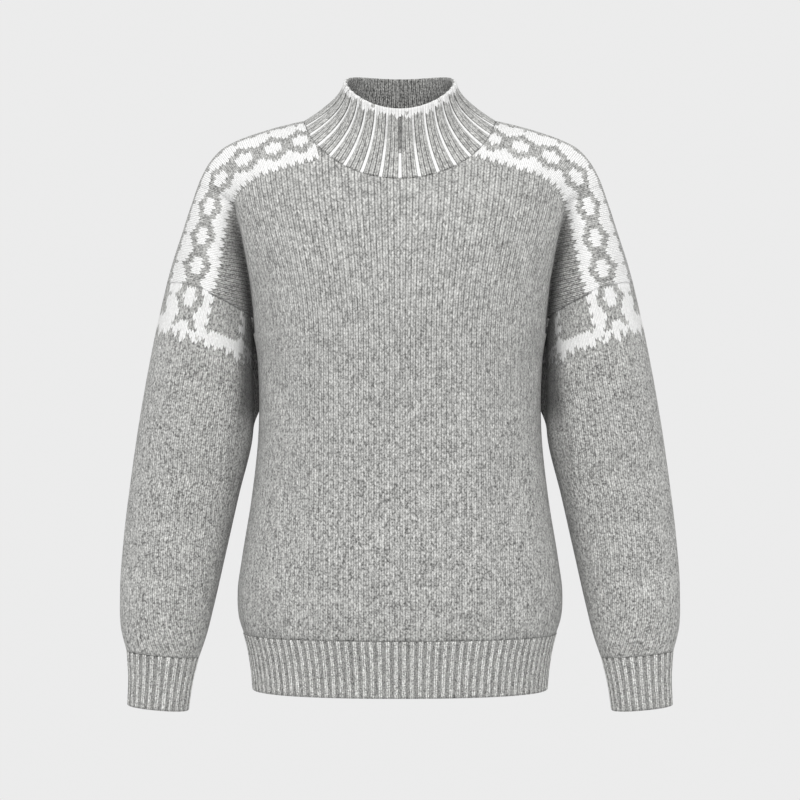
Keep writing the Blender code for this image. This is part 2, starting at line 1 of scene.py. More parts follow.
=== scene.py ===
"""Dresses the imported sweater: fine knitted shells on its solids, a procedural knit, plain studio light."""

import math

import bpy
import numpy as np
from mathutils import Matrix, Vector, kdtree


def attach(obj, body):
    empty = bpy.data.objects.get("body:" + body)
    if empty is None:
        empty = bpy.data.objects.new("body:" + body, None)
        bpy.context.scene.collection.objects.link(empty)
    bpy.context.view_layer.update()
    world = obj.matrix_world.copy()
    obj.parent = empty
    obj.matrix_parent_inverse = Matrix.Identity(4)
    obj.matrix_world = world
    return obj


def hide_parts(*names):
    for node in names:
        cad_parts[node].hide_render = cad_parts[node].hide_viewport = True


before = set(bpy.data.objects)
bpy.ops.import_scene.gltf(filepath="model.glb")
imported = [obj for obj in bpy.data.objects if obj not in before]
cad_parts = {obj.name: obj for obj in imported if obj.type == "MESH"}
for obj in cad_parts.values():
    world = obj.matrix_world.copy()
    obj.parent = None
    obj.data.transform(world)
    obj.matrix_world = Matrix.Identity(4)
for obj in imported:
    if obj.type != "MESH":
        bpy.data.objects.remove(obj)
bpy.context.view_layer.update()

# Camera, in metres.
CAMERA_DISTANCE = 3.0
VIEW_HEIGHT = 0.864
VIEW_MIDDLE_Z = -0.294

# Lengths are in millimetres until a mesh is made, in the frame of the solids. The front faces -Y.
MM = 0.001
WALL = 2.6
SEAM_GAP = 0.12
SLEEVE_GAP = 0.06
FRONT = -1
BACK = 1

HEM_SEAM_Z = -545.0
UNDERARM_Z = -223.0
UNDERARM_X = 158.0
BODY_POWER = 2.3
SLEEVE_POWER = 2.1

# Body below the underarm: height, half width, depth of the front, depth of the back.
BODY_SECTIONS = (
    (-605.6, 158.4, 106.0, 96.0),
    (-583.0, 160.4, 108.0, 98.0),
    (-557.0, 164.9, 112.5, 102.0),
    (-545.0, 168.2, 115.5, 104.5),
    (-531.0, 172.8, 118.5, 107.0),
    (-500.0, 175.0, 121.5, 109.5),
    (-466.0, 170.6, 121.5, 108.0),
    (-400.0, 160.0, 120.5, 104.0),
    (-324.0, 152.3, 123.0, 102.0),
    (-270.0, 152.5, 128.0, 104.5),
    (-241.0, 154.7, 131.0, 107.5),
    (-223.0, 158.0, 132.0, 109.0),
)

# Above the underarm: height, half width of the torso, inner edge of the arm, half depth of the arm.
SHOULDER_SECTIONS = (
    (-223.0, 158.0, 158.0, 52.0),
    (-205.0, 159.8, 156.4, 52.0),
    (-166.0, 168.0, 150.0, 52.0),
    (-122.0, 182.0, 139.0, 50.0),
    (-84.0, 194.0, 124.0, 46.0),
    (-52.0, 201.0, 108.0, 39.0),
    (-26.0, 204.0, 96.0, 29.0),
    (10.0, 206.0, 90.0, 12.0),
)

# Shoulder line as seen from the front, from the middle of the neck down the upper arm.
SHOULDER_LINE = (
    (0.0, 9.0),
    (60.0, 8.2),
    (102.6, 6.8),
    (121.5, 2.9),
    (150.7, -5.2),
    (176.0, -14.3),
    (192.0, -23.0),
    (205.0, -37.0),
    (214.5, -54.0),
    (224.0, -80.0),
    (236.0, -117.0),
    (244.5, -143.0),
    (251.6, -168.5),
    (258.0, -194.0),
    (266.0, -228.0),
)
NECK_X = 102.6
TIP_X = 251.6

# Armhole seam as seen from the front, from the underarm point up to the shoulder line.
ARMHOLE_LINE = (
    (158.0, -223.0),
    (158.3, -214.0),
    (160.5, -204.5),
    (174.0, -194.5),
    (194.0, -183.5),
    (213.0, -174.5),
    (234.0, -169.8),
    (251.6, -168.5),
)

DEPTH = {FRONT: 132.0, BACK: 109.0}
ROUNDNESS = {FRONT: 2.0, BACK: 2.2}
NECK_SEAM_Z = {FRONT: -62.3, BACK: -12.0}
NECK_SIDE_Z = 6.8
NECK_DIP_POWER = 1.2
JOIN_POWER = 8.0
NECK_SHARE = 0.375
FAN_POWER = 1.35
EDGE_PULL_POWER = 4.0
MIDDLE_TURN = 0.8

# Collar rim: half width, middle and half depth, and its height at front, side and back.
RIM_HALF_WIDTH = 58.6
RIM_MIDDLE_Y = -14.0
RIM_HALF_DEPTH = 64.0
RIM_FRONT_Z = 12.8
RIM_SIDE_Z = 48.5
RIM_BACK_Z = 58.0
COLLAR_FLARE = 1.9
NECK_TURN_GAP = 0.45
NECK_TURN_REACH = 45.0

# Sleeve: x and height of the outer edge, x and height of the inner edge, half depth, forward hang.
SLEEVE_SECTIONS = (
    (251.6, -168.5, 158.0, -223.0, 52.0, 0.0),
    (261.0, -209.0, 158.6, -251.0, 52.5, 0.0),
    (270.5, -256.0, 158.2, -288.0, 52.0, -1.0),
    (280.5, -313.0, 159.0, -334.0, 51.0, -2.5),
    (289.5, -376.0, 173.5, -396.0, 49.0, -5.0),
    (297.0, -440.0, 187.5, -459.0, 46.0, -9.0),
    (300.8, -500.0, 200.5, -517.0, 43.0, -13.0),
    (299.2, -540.0, 208.5, -549.0, 39.0, -16.5),
    (293.4, -562.4, 215.5, -569.4, 34.0, -18.0),
)
ARMHOLE_REACH = 80.0
CUFF_SECTIONS = (
    (292.6, -562.8, 216.5, -569.6, 33.0, -18.0),
    (290.8, -590.0, 223.0, -596.5, 29.5, -19.5),
    (291.6, -621.0, 227.5, -627.0, 28.5, -21.0),
)

# Soft folds: x and height of one end, x and height of the other, half width, depth.
# A negative depth is a ridge. The sleeve's are for the arm on the +X side.
FRONT_FOLDS = (
    (-148.0, -236.0, -100.0, -330.0, 13.0, 5.0),
    (146.0, -238.0, 104.0, -318.0, 12.0, 4.5),
    (-122.0, -350.0, -104.0, -530.0, 16.0, 4.5),
    (-58.0, -430.0, -52.0, -560.0, 15.0, 3.0),
    (10.0, -390.0, 4.0, -520.0, 18.0, 2.4),
    (68.0, -410.0, 60.0, -555.0, 15.0, 3.2),
    (120.0, -335.0, 106.0, -520.0, 16.0, 4.8),
)
BACK_FOLDS = (
    (-146.0, -238.0, -92.0, -345.0, 14.0, 5.0),
    (148.0, -236.0, 96.0, -352.0, 13.0, 5.5),
    (-108.0, -380.0, -96.0, -550.0, 16.0, 4.4),
    (-40.0, -340.0, -34.0, -540.0, 18.0, 3.2),
    (30.0, -420.0, 36.0, -560.0, 16.0, 3.0),
    (104.0, -370.0, 92.0, -545.0, 17.0, 4.2),
)
SLEEVE_FOLDS = (
    (168.0, -300.0, 232.0, -262.0, 13.0, 3.6),
    (180.0, -392.0, 244.0, -362.0, 12.0, 4.4),
    (186.0, -436.0, 252.0, -424.0, 11.0, 3.6),
    (288.0, -352.0, 246.0, -388.0, 12.0, 3.0),
    (298.0, -468.0, 250.0, -486.0, 12.0, 3.4),
    (212.0, -538.0, 262.0, -524.0, 9.0, 3.0),
    (296.0, -536.0, 256.0, -550.0, 9.0, 2.6),
)
FOLD_FADE_DEPTH = 45.0

COLLAR_RIBS = 30
COLLAR_RIB_HEIGHT = 2.4
HEM_RIBS = 104
CUFF_RIBS = 26
BAND_RIB_HEIGHT = 1.7

# Crease between chest and upper arm as seen from the front: x, height.
CREASE_LINE = (
    (152.0, -271.0),
    (154.4, -241.0),
    (157.0, -223.0),
    (158.8, -197.6),
    (162.0, -166.0),
    (169.6, -122.0),
    (177.0, -84.0),
    (195.0, -70.0),
    (240.0, -55.0),
)
CREASE_DEPTH = 38.0
CREASE_SHARP = 2.2
CREASE_SOFT = 13.0
# How dark the painted shadow beside the crease makes the chest's colour.
CREASE_SHADE = 0.84

# Below the underarm the sleeve's inner side leans on the body, from one height down to another.
LEAN_TOP_Z = -226.0
LEAN_END_Z = -312.0
LEAN_GAP = 0.9
LEAN_TURN = 0.42
LEAN_SPREAD = 0.5
LEAN_FADE = 14.0

# Middles of the pattern's rings as seen from the front, from the neck down the arm: x, height.
RING_MIDDLES = {
    -1: (
        (108.0, -13.4),
        (136.7, -21.5),
        (168.9, -33.9),
        (194.4, -55.0),
        (206.8, -84.7),
        (213.6, -116.8),
        (218.9, -148.7),
        (226.6, -181.5),
    ),
    1: (
        (101.3, -11.2),
        (130.1, -19.7),
        (163.6, -31.0),
        (191.0, -53.0),
        (204.0, -84.8),
        (211.0, -119.0),
        (218.0, -152.0),
        (227.0, -184.5),
    ),
}
RING_INSET = 20.0
ARM_RADIUS = 53.0
RING_STITCHES = 9
BAND_STITCH = 3.6
SLEEVE_RING_ARC = 60.5

# Stitches: width and height of one on the body, and on the sleeve.
BODY_WALE = 5.4
BODY_COURSE = 4.2
SLEEVE_WALE = 4.8
SLEEVE_COURSE = 3.9

HALF_COLUMNS = 128
LOWER_ROWS = 74
YOKE_ROWS = 84
SLEEVE_ROWS = 110
COLLAR_ROWS = 34
COLLAR_STEPS = 14
BAND_STEPS = 10
HEM_ROWS = 18
CUFF_ROWS = 18
RIM_TURNS = 5
CURVE_STEPS = 160
OUTLINE_STEPS = 4000
RING_CURVE_STEPS = 5000

# Height of a rib's stitch, millimetres to one unit of the map "zone", and a row far outside the band.
RIB_COURSE = 3.6
ZONE_UNIT = 100.0
OUTSIDE_BAND = 60.0

# Studio, in metres: the background, lights as name, place, size and power, and the floor.
BACKGROUND = (0.8365, 0.8365, 0.8365, 1.0)
LIGHTS = (
    ("key", (-0.3, -1.9, 1.5), 1.6, 36.0),
    ("fill", (0.5, -2.6, 0.2), 2.4, 16.0),
)
LIGHT_TARGET = (0.0, 0.0, -0.3)
FLOOR_GREY = (0.73, 0.73, 0.73, 1.0)
FLOOR_RADIUS = 2.6
FLOOR_Z = -1.2
FLOOR_SIDES = 96
SENSOR = 36.0

# Colours of the yarn, and how far its tones spread.
GREY_DARK = (0.092, 0.092, 0.089, 1.0)
GREY_LIGHT = (0.735, 0.735, 0.713, 1.0)
WHITE_DARK = (0.74, 0.74, 0.73, 1.0)
WHITE_LIGHT = (0.93, 0.93, 0.925, 1.0)
STITCH_SHARE = 0.34
CLOUD_SHARE = 0.14
FLECK_SCALE = 470.0
RIB_FLECK_SCALE = 700.0
CLOUD_SCALE = 70.0
FIBRE_SCALE = 1500.0

# Grooves between stitches, darkened in the colour as painted shade: how far a stitch's legs slant, how dark
# the groove between two rows is, how much weaker the grooves are on white, and the height of the relief in
# metres.
V_SLANT = 0.8
ROW_GROOVE_SHADE = 0.12
WHITE_EASE = 0.66
RELIEF = 0.0011

# One ring of the pattern, row by row out from its middle, each as the columns from its middle
# to the join with the next ring. A dot is white and a cross is grey.
RING_ROWS = ("...xx", "...xx", ".xxxx", "xxxx.", "xx...")
INNER_CHART = RING_ROWS + (".....", ".....", "x..x.", "xxxxx")
OUTER_CHART = RING_ROWS + ("x....", ".....", ".....", "x....", "x...x", "xxxxx")
CODE_LIMIT = 32.0

# The band ends at the join before its first ring, in stitches from that ring's middle.
BAND_END = -4.0

# Sleeve pattern in stitches below the armhole seam: the middle of the ring there, and where the
# white border starts beside the rings and ends. Round from the ring, a broken streak.
SLEEVE_RING_STITCH = 3.0
BORDER_START = 10.0
BORDER_END = 13.5
STREAK_START = 18.5
STREAK_END = 21.5

# Collar: half of a white valley as a share of a rib, plain wales on a rib, and the heights above
# the seam, in tenths of a metre, where the painted shadow in the middle slit starts and the white stripe
# below it ends.
COLLAR_VALLEY = 0.09
COLLAR_WALES = 3.0
SLIT_END = 0.34
STRIPE_START = 0.29
# Half width of the painted shadow line beside each white stripe, as a share of a rib.
RIB_SHADOW_HALF = 0.035
# Reach above the neck seam of the painted seam shadow, in tenths of a metre.
SEAM_SHADOW_REACH = 0.011

# Changes over a distance: where each starts and ends, its value there, and True where it is soft.
BODY_GAP = (-45.0, 10.0, 0.36, 0.54)
BODY_FLECK = (-45.0, 10.0, 0.68, 0.5)
ARM_GAP = (5.0, 9.0, 0.3, 0.75)
# Painted shadow beside the crease, across it and up it.
CREASE_SHADOW_ACROSS = (0.02, 0.13, 1.0, 0.0, True)
CREASE_SHADOW_UP = (4.0, 42.0, 1.0, 0.1, True)
BORDER_WEAR = (18.0, 25.0, 0.06, 0.7)
STREAK_WEAR = (19.0, 21.0, 0.5, 0.25)
# Painted shade on the sleeve beside the body, and painted light lower down the sleeve.
ARM_SHADE_ROUND = (1.2, 1.47, 0.0, 1.0, True)
ARM_SHADE_DOWN = (1.0, 1.5, 1.0, 0.3, True)
ARM_LIGHT_DOWN = (1.8, 3.4, 1.0, 1.06)
FAINT_STRIPE_UP = (SLIT_END, SLIT_END + 0.12, 0.0, 1.0, True)
# Painted shadow lines beside the collar's stripes.
RIB_SHADOW_UP = (0.2, 0.5, 0.1, 0.5, True)
# Painted shade in the rib valleys and along the bottom edge.
RIB_SHADE_ACROSS = (0.235, 0.3, 1.75, 0.93, True)
RIB_SHADE_DOWN = (0.0, 0.012, 0.72, 1.0)


def column(table, number):
    return np.array([row[number] for row in table], float)


def smooth(keys, values, at):
    """Value at `at` on a curve through the points, with no corner at any of them."""
    slopes = np.gradient(values, keys)
    start = np.clip(np.searchsorted(keys, at, side="right") - 1, 0, len(keys) - 2)
    span = keys[start + 1] - keys[start]
    part = np.clip((at - keys[start]) / span, 0.0, 1.0)
    ease = part * part * (3.0 - 2.0 * part)
    leave = part * (1.0 - part) ** 2 * span * slopes[start]
    arrive = part * part * (part - 1.0) * span * slopes[start + 1]
    return values[start] * (1.0 - ease) + values[start + 1] * ease + leave + arrive


def at_height(table, number, z):
    """A column of a table of sections, read at a height."""
    return smooth(column(table, 0), column(table, number), z)


def ramp(value, start, end):
    part = np.clip((value - start) / (end - start), 0.0, 1.0)
    return part * part * (3.0 - 2.0 * part)


def lengths_along(points):
    steps = np.linalg.norm(np.diff(points, axis=0), axis=1)
    return np.concatenate(([0.0], np.cumsum(steps)))


def unit(vectors):
    return vectors / np.linalg.norm(vectors, axis=-1, keepdims=True)


def along(points, shares):
    """Points at shares of the length of a line of points."""
    run = lengths_along(points)
    return np.stack([np.interp(shares * run[-1], run, axis) for axis in points.T], axis=-1)


def smooth_line(table, steps=4 * CURVE_STEPS):
    rough = np.array(table, float)
    run = lengths_along(rough)
    fine = np.linspace(0.0, run[-1], steps)
    return np.stack([smooth(run, axis, fine) for axis in rough.T], axis=1)


OUTLINE = smooth_line(SHOULDER_LINE)


def outline_height(x):
    return np.interp(x, OUTLINE[:, 0], OUTLINE[:, 1])


def outline_x(z):
    return np.interp(-z, -OUTLINE[:, 1], OUTLINE[:, 0])


def body_quarter(z, side):
    """Fine quarter of a body section, from the middle to the side, as x and depth."""
    half_width = at_height(BODY_SECTIONS, 1, z)
    depth = at_height(BODY_SECTIONS, 2 if side == FRONT else 3, z)
    turn = np.linspace(0.0, math.pi / 2, CURVE_STEPS)
    x = half_width * np.sin(turn) ** (2.0 / BODY_POWER)
    back = depth * np.abs(np.cos(turn)) ** (2.0 / BODY_POWER)
    back[-1] = 0.0
    return np.stack([x, back], axis=1)


def yoke_depth(x, z, side):
    """How far the cloth above the underarm stands from the plane of the shoulder line."""
    torso_half, arm_inner, arm_depth = (at_height(SHOULDER_SECTIONS, number, z) for number in (1, 2, 3))
    across = np.maximum(0.0, 1.0 - (x / torso_half) ** BODY_POWER) ** (1.0 / BODY_POWER)
    power = ROUNDNESS[side]
    rise = np.clip((z - UNDERARM_Z) / (outline_height(x) - UNDERARM_Z), 0.0, 1.0)
    torso = DEPTH[side] * across * (1.0 - rise**power) ** (1.0 / power)
    arm_outer = outline_x(z)
    offset = (x - (arm_inner + arm_outer) / 2) / ((arm_outer - arm_inner) / 2)
    arm = arm_depth * np.sqrt(np.maximum(0.0, 1.0 - offset * offset))
    return (torso**JOIN_POWER + arm**JOIN_POWER) ** (1.0 / JOIN_POWER)


def fold_depth(x, z, folds):
    """Sum of the soft folds at a place, each fading out toward its two ends."""
    total = np.zeros(np.broadcast(x, z).shape)
    for x0, z0, x1, z1, half_width, depth in folds:
        run = math.hypot(x1 - x0, z1 - z0)
        way = ((x - x0) * (x1 - x0) + (z - z0) * (z1 - z0)) / run
        off = ((x - x0) * (z1 - z0) - (z - z0) * (x1 - x0)) / run
        past = np.maximum(0.0, np.abs(way - run / 2) - run / 4) / (run / 4)
        total = total + depth * np.exp(-((off / half_width) ** 2) - past * past)
    return total


def neck_line(side):
    turn = np.linspace(0.0, math.pi / 2, CURVE_STEPS)
    x = NECK_X * np.sin(turn)
    dip = np.abs(np.cos(turn)) ** NECK_DIP_POWER
    z = NECK_SIDE_Z + (NECK_SEAM_Z[side] - NECK_SIDE_Z) * dip
    z[-1] = NECK_SIDE_Z
    return np.stack([x, z], axis=1)


def shoulder_line():
    inside = (OUTLINE[:, 0] > NECK_X) & (OUTLINE[:, 0] < TIP_X)
    start = np.array([[NECK_X, NECK_SIDE_Z]])
    end = np.array([[TIP_X, outline_height(TIP_X)]])
    return np.concatenate([start, OUTLINE[inside], end])


def armhole_line(side):
    flat = smooth_line(ARMHOLE_LINE)
    depth = yoke_depth(flat[:, 0], flat[:, 1], side)
    depth[0] = 0.0
    depth[-1] = 0.0
    return np.concatenate([flat, depth[:, None]], axis=1)


def panel_shares():
    return np.linspace(-1.0, 1.0, 2 * HALF_COLUMNS + 1)


def yoke_row(side, t, armhole, neck, shoulder):
    """x, height and depth along one row above the underarm, t from 0 there to 1 at the shoulder."""
    share = np.abs(panel_shares())
    low_x = along(body_quarter(UNDERARM_Z, side), share)[:, 0]
    on_neck = share <= NECK_SHARE + 1e-9
    high = np.where(
        on_neck[:, None],
        along(neck, np.minimum(1.0, share / NECK_SHARE)),
        along(shoulder, np.clip((share - NECK_SHARE) / (1.0 - NECK_SHARE), 0.0, 1.0)),
    )
    seam = along(armhole, np.array([t]))[0]
    tip = (TIP_X, outline_height(TIP_X))
    full_turn = math.sin(t * math.pi / 2)
    plain_x = UNDERARM_X + (tip[0] - UNDERARM_X) * full_turn**FAN_POWER
    plain_z = UNDERARM_Z + (tip[1] - UNDERARM_Z) * full_turn
    turn = MIDDLE_TURN + (math.pi / 2 - MIDDLE_TURN) * np.minimum(1.0, share / NECK_SHARE) ** 1.5
    rise = np.sin(turn * t) / np.sin(turn)
    pull = share**EDGE_PULL_POWER
    x = low_x + (high[:, 0] - low_x) * rise**FAN_POWER + pull * (seam[0] - plain_x)
    z = UNDERARM_Z + (high[:, 1] - UNDERARM_Z) * rise + pull * (seam[1] - plain_z)
    if t > 0.9999:
        x, z = high[:, 0].copy(), high[:, 1].copy()
    depth = yoke_depth(x, z, side)
    if t > 0.9999:
        depth[share >= NECK_SHARE - 1e-6] = 0.0
    for edge in (0, -1):
        x[edge], z[edge], depth[edge] = seam
    return x, z, depth


def panel_surface(side):
    """Outer points of a panel, rows from the hem seam up to the neck and shoulders."""
    signs = np.sign(panel_shares())
    folds = FRONT_FOLDS if side == FRONT else BACK_FOLDS
    armhole = armhole_line(side)
    neck = neck_line(side)
    shoulder = shoulder_line()
    rows = []
    for z in np.linspace(HEM_SEAM_Z, UNDERARM_Z, LOWER_ROWS + 1):
        quarter = along(body_quarter(z, side), np.abs(panel_shares()))
        rows.append((quarter[:, 0], np.full(len(signs), z), quarter[:, 1]))
    for step in range(1, YOKE_ROWS + 1):
        rows.append(yoke_row(side, step / YOKE_ROWS, armhole, neck, shoulder))
    x, z, depth = (np.array([row[number] for row in rows]) for number in range(3))
    x = x * signs
    fade = np.minimum(1.0, depth / FOLD_FADE_DEPTH)
    depth = depth - fade * fold_depth(x, z, folds)
    depth = depth - crease_depth(np.abs(x), z, depth)
    return np.stack([x, side * depth, z], axis=-1)


def past_crease(x, z):
    """How far a place lies past the crease between chest and upper arm, toward the arm."""
    line = np.array(CREASE_LINE)
    return x - np.interp(z, line[:, 1], line[:, 0])


def crease_depth(x, z, depth):
    """Fold between chest and upper arm: sharp on the chest's side, soft on the arm's."""
    past = past_crease(x, z)
    sharp = np.exp(-((past / CREASE_SHARP) ** 2))
    soft = np.exp(-((np.abs(past) / CREASE_SOFT) ** 1.3))
    strength = ramp(-z, 55.0, 150.0) * (z > UNDERARM_Z)
    return np.minimum(CREASE_DEPTH * strength, 0.65 * depth) * np.where(past < 0, sharp, soft)


def tube_ring(section, turn):
    """Ring of a sleeve or cuff, from the inner edge over the front to the outer edge and back."""
    outer = np.array([section[0], 0.0, section[1]])
    inner = np.array([section[2], 0.0, section[3]])
    middle = (outer + inner) / 2 + np.array([0.0, section[5], 0.0])
    cosine = np.sign(np.cos(turn)) * np.abs(np.cos(turn)) ** (2.0 / SLEEVE_POWER)
    sine = np.sign(np.sin(turn)) * np.abs(np.sin(turn)) ** (2.0 / SLEEVE_POWER)
    across = cosine[:, None] * (inner - outer) / 2
    return middle + across + sine[:, None] * np.array([0.0, -section[4], 0.0])


def middle_lengths(table):
    """Length along the middle line of a tube at each of its sections."""
    return lengths_along(np.array([((row[0] + row[2]) / 2, (row[1] + row[3]) / 2) for row in table]))


def table_section(table, share):
    run = middle_lengths(table)
    return [float(smooth(run, column(table, number), share * run[-1])) for number in range(6)]


def lean_on_body(z, x):
    """How far the inner side of the sleeve reaches toward the body behind the gap between them."""
    body_half = float(at_height(BODY_SECTIONS, 1, z))
    starts = ramp(-z, -LEAN_TOP_Z, -LEAN_TOP_Z + LEAN_FADE)
    ends = ramp(-z, -LEAN_END_Z - LEAN_FADE, -LEAN_END_Z + LEAN_FADE)
    return max(0.0, x - body_half - LEAN_GAP) * (starts * (1.0 - ends))


def sleeve_surface(armhole_ring):
    """Outer points of the +X sleeve, from the armhole seam down to the cuff seam."""
    turn = 2 * math.pi * np.arange(len(armhole_ring)) / len(armhole_ring)
    lean_turn = 2 * math.pi - LEAN_TURN
    near_body = np.exp(-(((turn - lean_turn) / LEAN_SPREAD) ** 2))
    bend = armhole_ring - tube_ring(SLEEVE_SECTIONS[0], turn)
    total = middle_lengths(SLEEVE_SECTIONS)[-1]
    rings = [armhole_ring]
    for step in range(1, SLEEVE_ROWS + 1):
        share = step / SLEEVE_ROWS
        section = table_section(SLEEVE_SECTIONS, share)
        fade = max(0.0, 1.0 - share * total / ARMHOLE_REACH) ** 2
        ring = tube_ring(section, turn) + fade * bend
        depth = ring[:, 1] - section[5]
        folds = fold_depth(ring[:, 0], ring[:, 2], SLEEVE_FOLDS)
        hollow = np.minimum(1.0, np.abs(depth) / FOLD_FADE_DEPTH) * folds
        ring[:, 1] -= np.sign(depth) * hollow * (1.0 - abs(2 * share - 1) ** 8)
        ring[:, 0] -= lean_on_body(section[3], np.interp(lean_turn, turn, ring[:, 0])) * near_body
        rings.append(ring)
    return np.array(rings)


def outward(points, closed):
    if closed:
        across = np.roll(points, -1, axis=1) - np.roll(points, 1, axis=1)
    else:
        across = np.gradient(points, axis=1)
    return unit(np.cross(across, np.gradient(points, axis=0)))


def outward_tube(rings):
    out = outward(rings, True)
    if np.sum(out * (rings - rings.mean(axis=1, keepdims=True))) < 0:
        out = -out
    return out


def level_end(directions, ring):
    """Lays the directions of a tube's end ring in the plane of that ring."""
    width = ring[0] - ring[len(ring) // 2]
    axis = unit(np.cross(width, ring[len(ring) // 4] - ring[3 * len(ring) // 4]))
    directions[:] = unit(directions - (directions @ axis)[:, None] * axis)


def share_direction(*places):
    total = unit(sum(array[index] for array, index in places))
    for array, index in places:
        array[index] = total


def body_and_sleeves():
    """Outer points and directions of both panels and both sleeves."""
    front = panel_surface(FRONT)
    back = panel_surface(BACK)
    front_out = outward(front, False)
    back_out = -outward(back, False)
    for out in (front_out, back_out):
        out[0, :, 2] = 0.0
        out[0] = unit(out[0])
    last = front.shape[1] - 1
    top = front.shape[0] - 1
    sleeves = {}
    outs = {}
    for name, edge in (("sleeve_left", last), ("sleeve_right", 0)):
        up = front[LOWER_ROWS:, edge]
        down = back[LOWER_ROWS:, edge][::-1]
        ring = np.concatenate([up, down[1:-1]])
        mirror = np.array([math.copysign(1.0, ring[0, 0]), 1.0, 1.0])
        sleeves[name] = sleeve_surface(ring * mirror) * mirror
        outs[name] = outward_tube(sleeves[name])
        level_end(outs[name][-1], sleeves[name][-1])
    for number, signed in enumerate(panel_shares()):
        if NECK_SHARE - 0.001 <= abs(signed) < 0.999:
            share_direction((front_out, (top, number)), (back_out, (top, number)))
    for name, edge in (("sleeve_left", last), ("sleeve_right", 0)):
        for row in range(LOWER_ROWS):
            share_direction((front_out, (row, edge)), (back_out, (row, edge)))
        for step in range(1, YOKE_ROWS):
            share_direction((front_out, (LOWER_ROWS + step, edge)), (outs[name], (0, step)))
            behind = 2 * YOKE_ROWS - step
            share_direction((back_out, (LOWER_ROWS + step, edge)), (outs[name], (0, behind)))
        for row, step in ((LOWER_ROWS, 0), (top, YOKE_ROWS)):
            share_direction((front_out, (row, edge)), (back_out, (row, edge)), (outs[name], (0, step)))
    return front, front_out, back, back_out, sleeves, outs


def part_at_seam(points, side):
    """Draws the side seams and shoulder seams of a panel apart from the other panel's."""
    for edge, way in ((0, 1.0), (-1, -1.0)):
        points[: LOWER_ROWS + 1, edge, 1] += side * SEAM_GAP / 2
        points[LOWER_ROWS, edge, 0] += way * SEAM_GAP / 2
    points[-1, np.abs(panel_shares()) >= NECK_SHARE - 0.001, 1] += side * SEAM_GAP / 2


def draw_down(rings, gap):
    rings[0] += np.reshape(gap, (-1, 1)) * unit(rings[1] - rings[0])


def link(name, data):
    item = bpy.data.objects.new(name, data)
    bpy.context.scene.collection.objects.link(item)
    return item


def make_piece(name, grid, maps, closed, outer_rows, paints):
    """Closed wall from a grid whose rows go up the outside, over and down the inside. maps holds
    named pairs of numbers for each corner, with one column more than the points where it closes."""
    rows, columns = grid.shape[:2]
    right = columns if closed else columns - 1
    row, left = np.meshgrid(np.arange(rows), np.arange(right), indexing="ij")
    row, left = row.ravel(), left.ravel()
    above = (row + 1) % rows
    beside = (left + 1) % columns
    low, high = row * columns, above * columns
    faces = np.stack([low + left, low + beside, high + beside, high + left], 1)
    corners = [(row, left), (row, left + 1), (above, left + 1), (above, left)]
    inside = (row >= outer_rows).astype(np.int32)
    if not closed:
        up = np.arange(outer_rows - 1)
        loop = np.array([up, up + 1, rows - 2 - up, rows - 1 - up])
        for edge, cap in ((0, loop), (columns - 1, loop[::-1])):
            faces = np.concatenate([faces, cap.T * columns + edge])
            at_edge = np.full(len(up), edge)
            corners = [
                (np.concatenate([a, c]), np.concatenate([b, at_edge])) for (a, b), c in zip(corners, cap)
            ]
        inside = np.concatenate([inside, np.zeros(2 * len(up), np.int32)])
    points = grid.reshape(-1, 3)
    a, b, c, d = (points[faces[:, number]] for number in range(4))
    if np.sum(a * np.cross(b, c)) + np.sum(a * np.cross(c, d)) < 0:
        faces = faces[:, ::-1]
        corners = corners[::-1]
    data = bpy.data.meshes.new(name)
    data.from_pydata((points * MM).tolist(), [], faces.tolist())
    for label, values in maps.items():
        layer = data.uv_layers.new(name=label)
        spread = np.stack([values[r, k] for r, k in corners], axis=1)
        layer.data.foreach_set("uv", spread.reshape(-1).astype(np.float32))
    for paint in paints:
        data.materials.append(paint)
    data.polygons.foreach_set("material_index", inside)
    data.polygons.foreach_set("use_smooth", np.ones(len(faces), bool))
    data.update()
    item = link(name + "_knit", data)
    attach(item, "root")
    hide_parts(name)
    return item


def both_sides(outer, inner):
    return np.concatenate([outer, inner[::-1]])


def over_the_rim(outer, inner):
    """Outside, a round edge at the last ring, and the inside, for a free edge."""
    end = unit(outer[-1] - outer[-2])
    thick = np.linalg.norm(outer[-1] - inner[-1], axis=1, keepdims=True)
    middle = (outer[-1] + inner[-1]) / 2 - end * thick / 2
    half = (outer[-1] - inner[-1]) / 2
    turns = np.linspace(0.0, math.pi, RIM_TURNS + 2)
    edge = np.array([middle + half * math.cos(turn) + end * thick / 2 * math.sin(turn) for turn in turns])
    return both_sides(np.concatenate([outer[:-2], edge]), inner[:-2])


def pairs(first, second):
    return np.stack([first, second], axis=-1)


def nearest_on(line, points):
    """Index along a fine line of its point nearest to each of the points, and the distance to it."""
    tree = kdtree.KDTree(len(line))
    for number, (x, z) in enumerate(line):
        tree.insert((x, z, 0.0), number)
    tree.balance()
    found = np.array([tree.find((x, z, 0.0))[1:] for x, z in points])
    return found[:, 0].astype(int), found[:, 1]


def ring_curve(side_sign):
    """Fine line through the middles of the rings, and the ring number along it."""
    table = np.array(RING_MIDDLES[side_sign])
    start = table[1] - table[0]
    end = table[-1] - table[-2]
    before = [table[0] - start - start, table[0] - start]
    after = [table[-1] + end, table[-1] + end + end]
    full = np.concatenate([before, table, after])
    keys = np.arange(len(full), dtype=float) - 2
    fine = np.linspace(keys[0], keys[-1], RING_CURVE_STEPS)
    return np.stack([smooth(keys, axis, fine) for axis in full.T], axis=1), fine


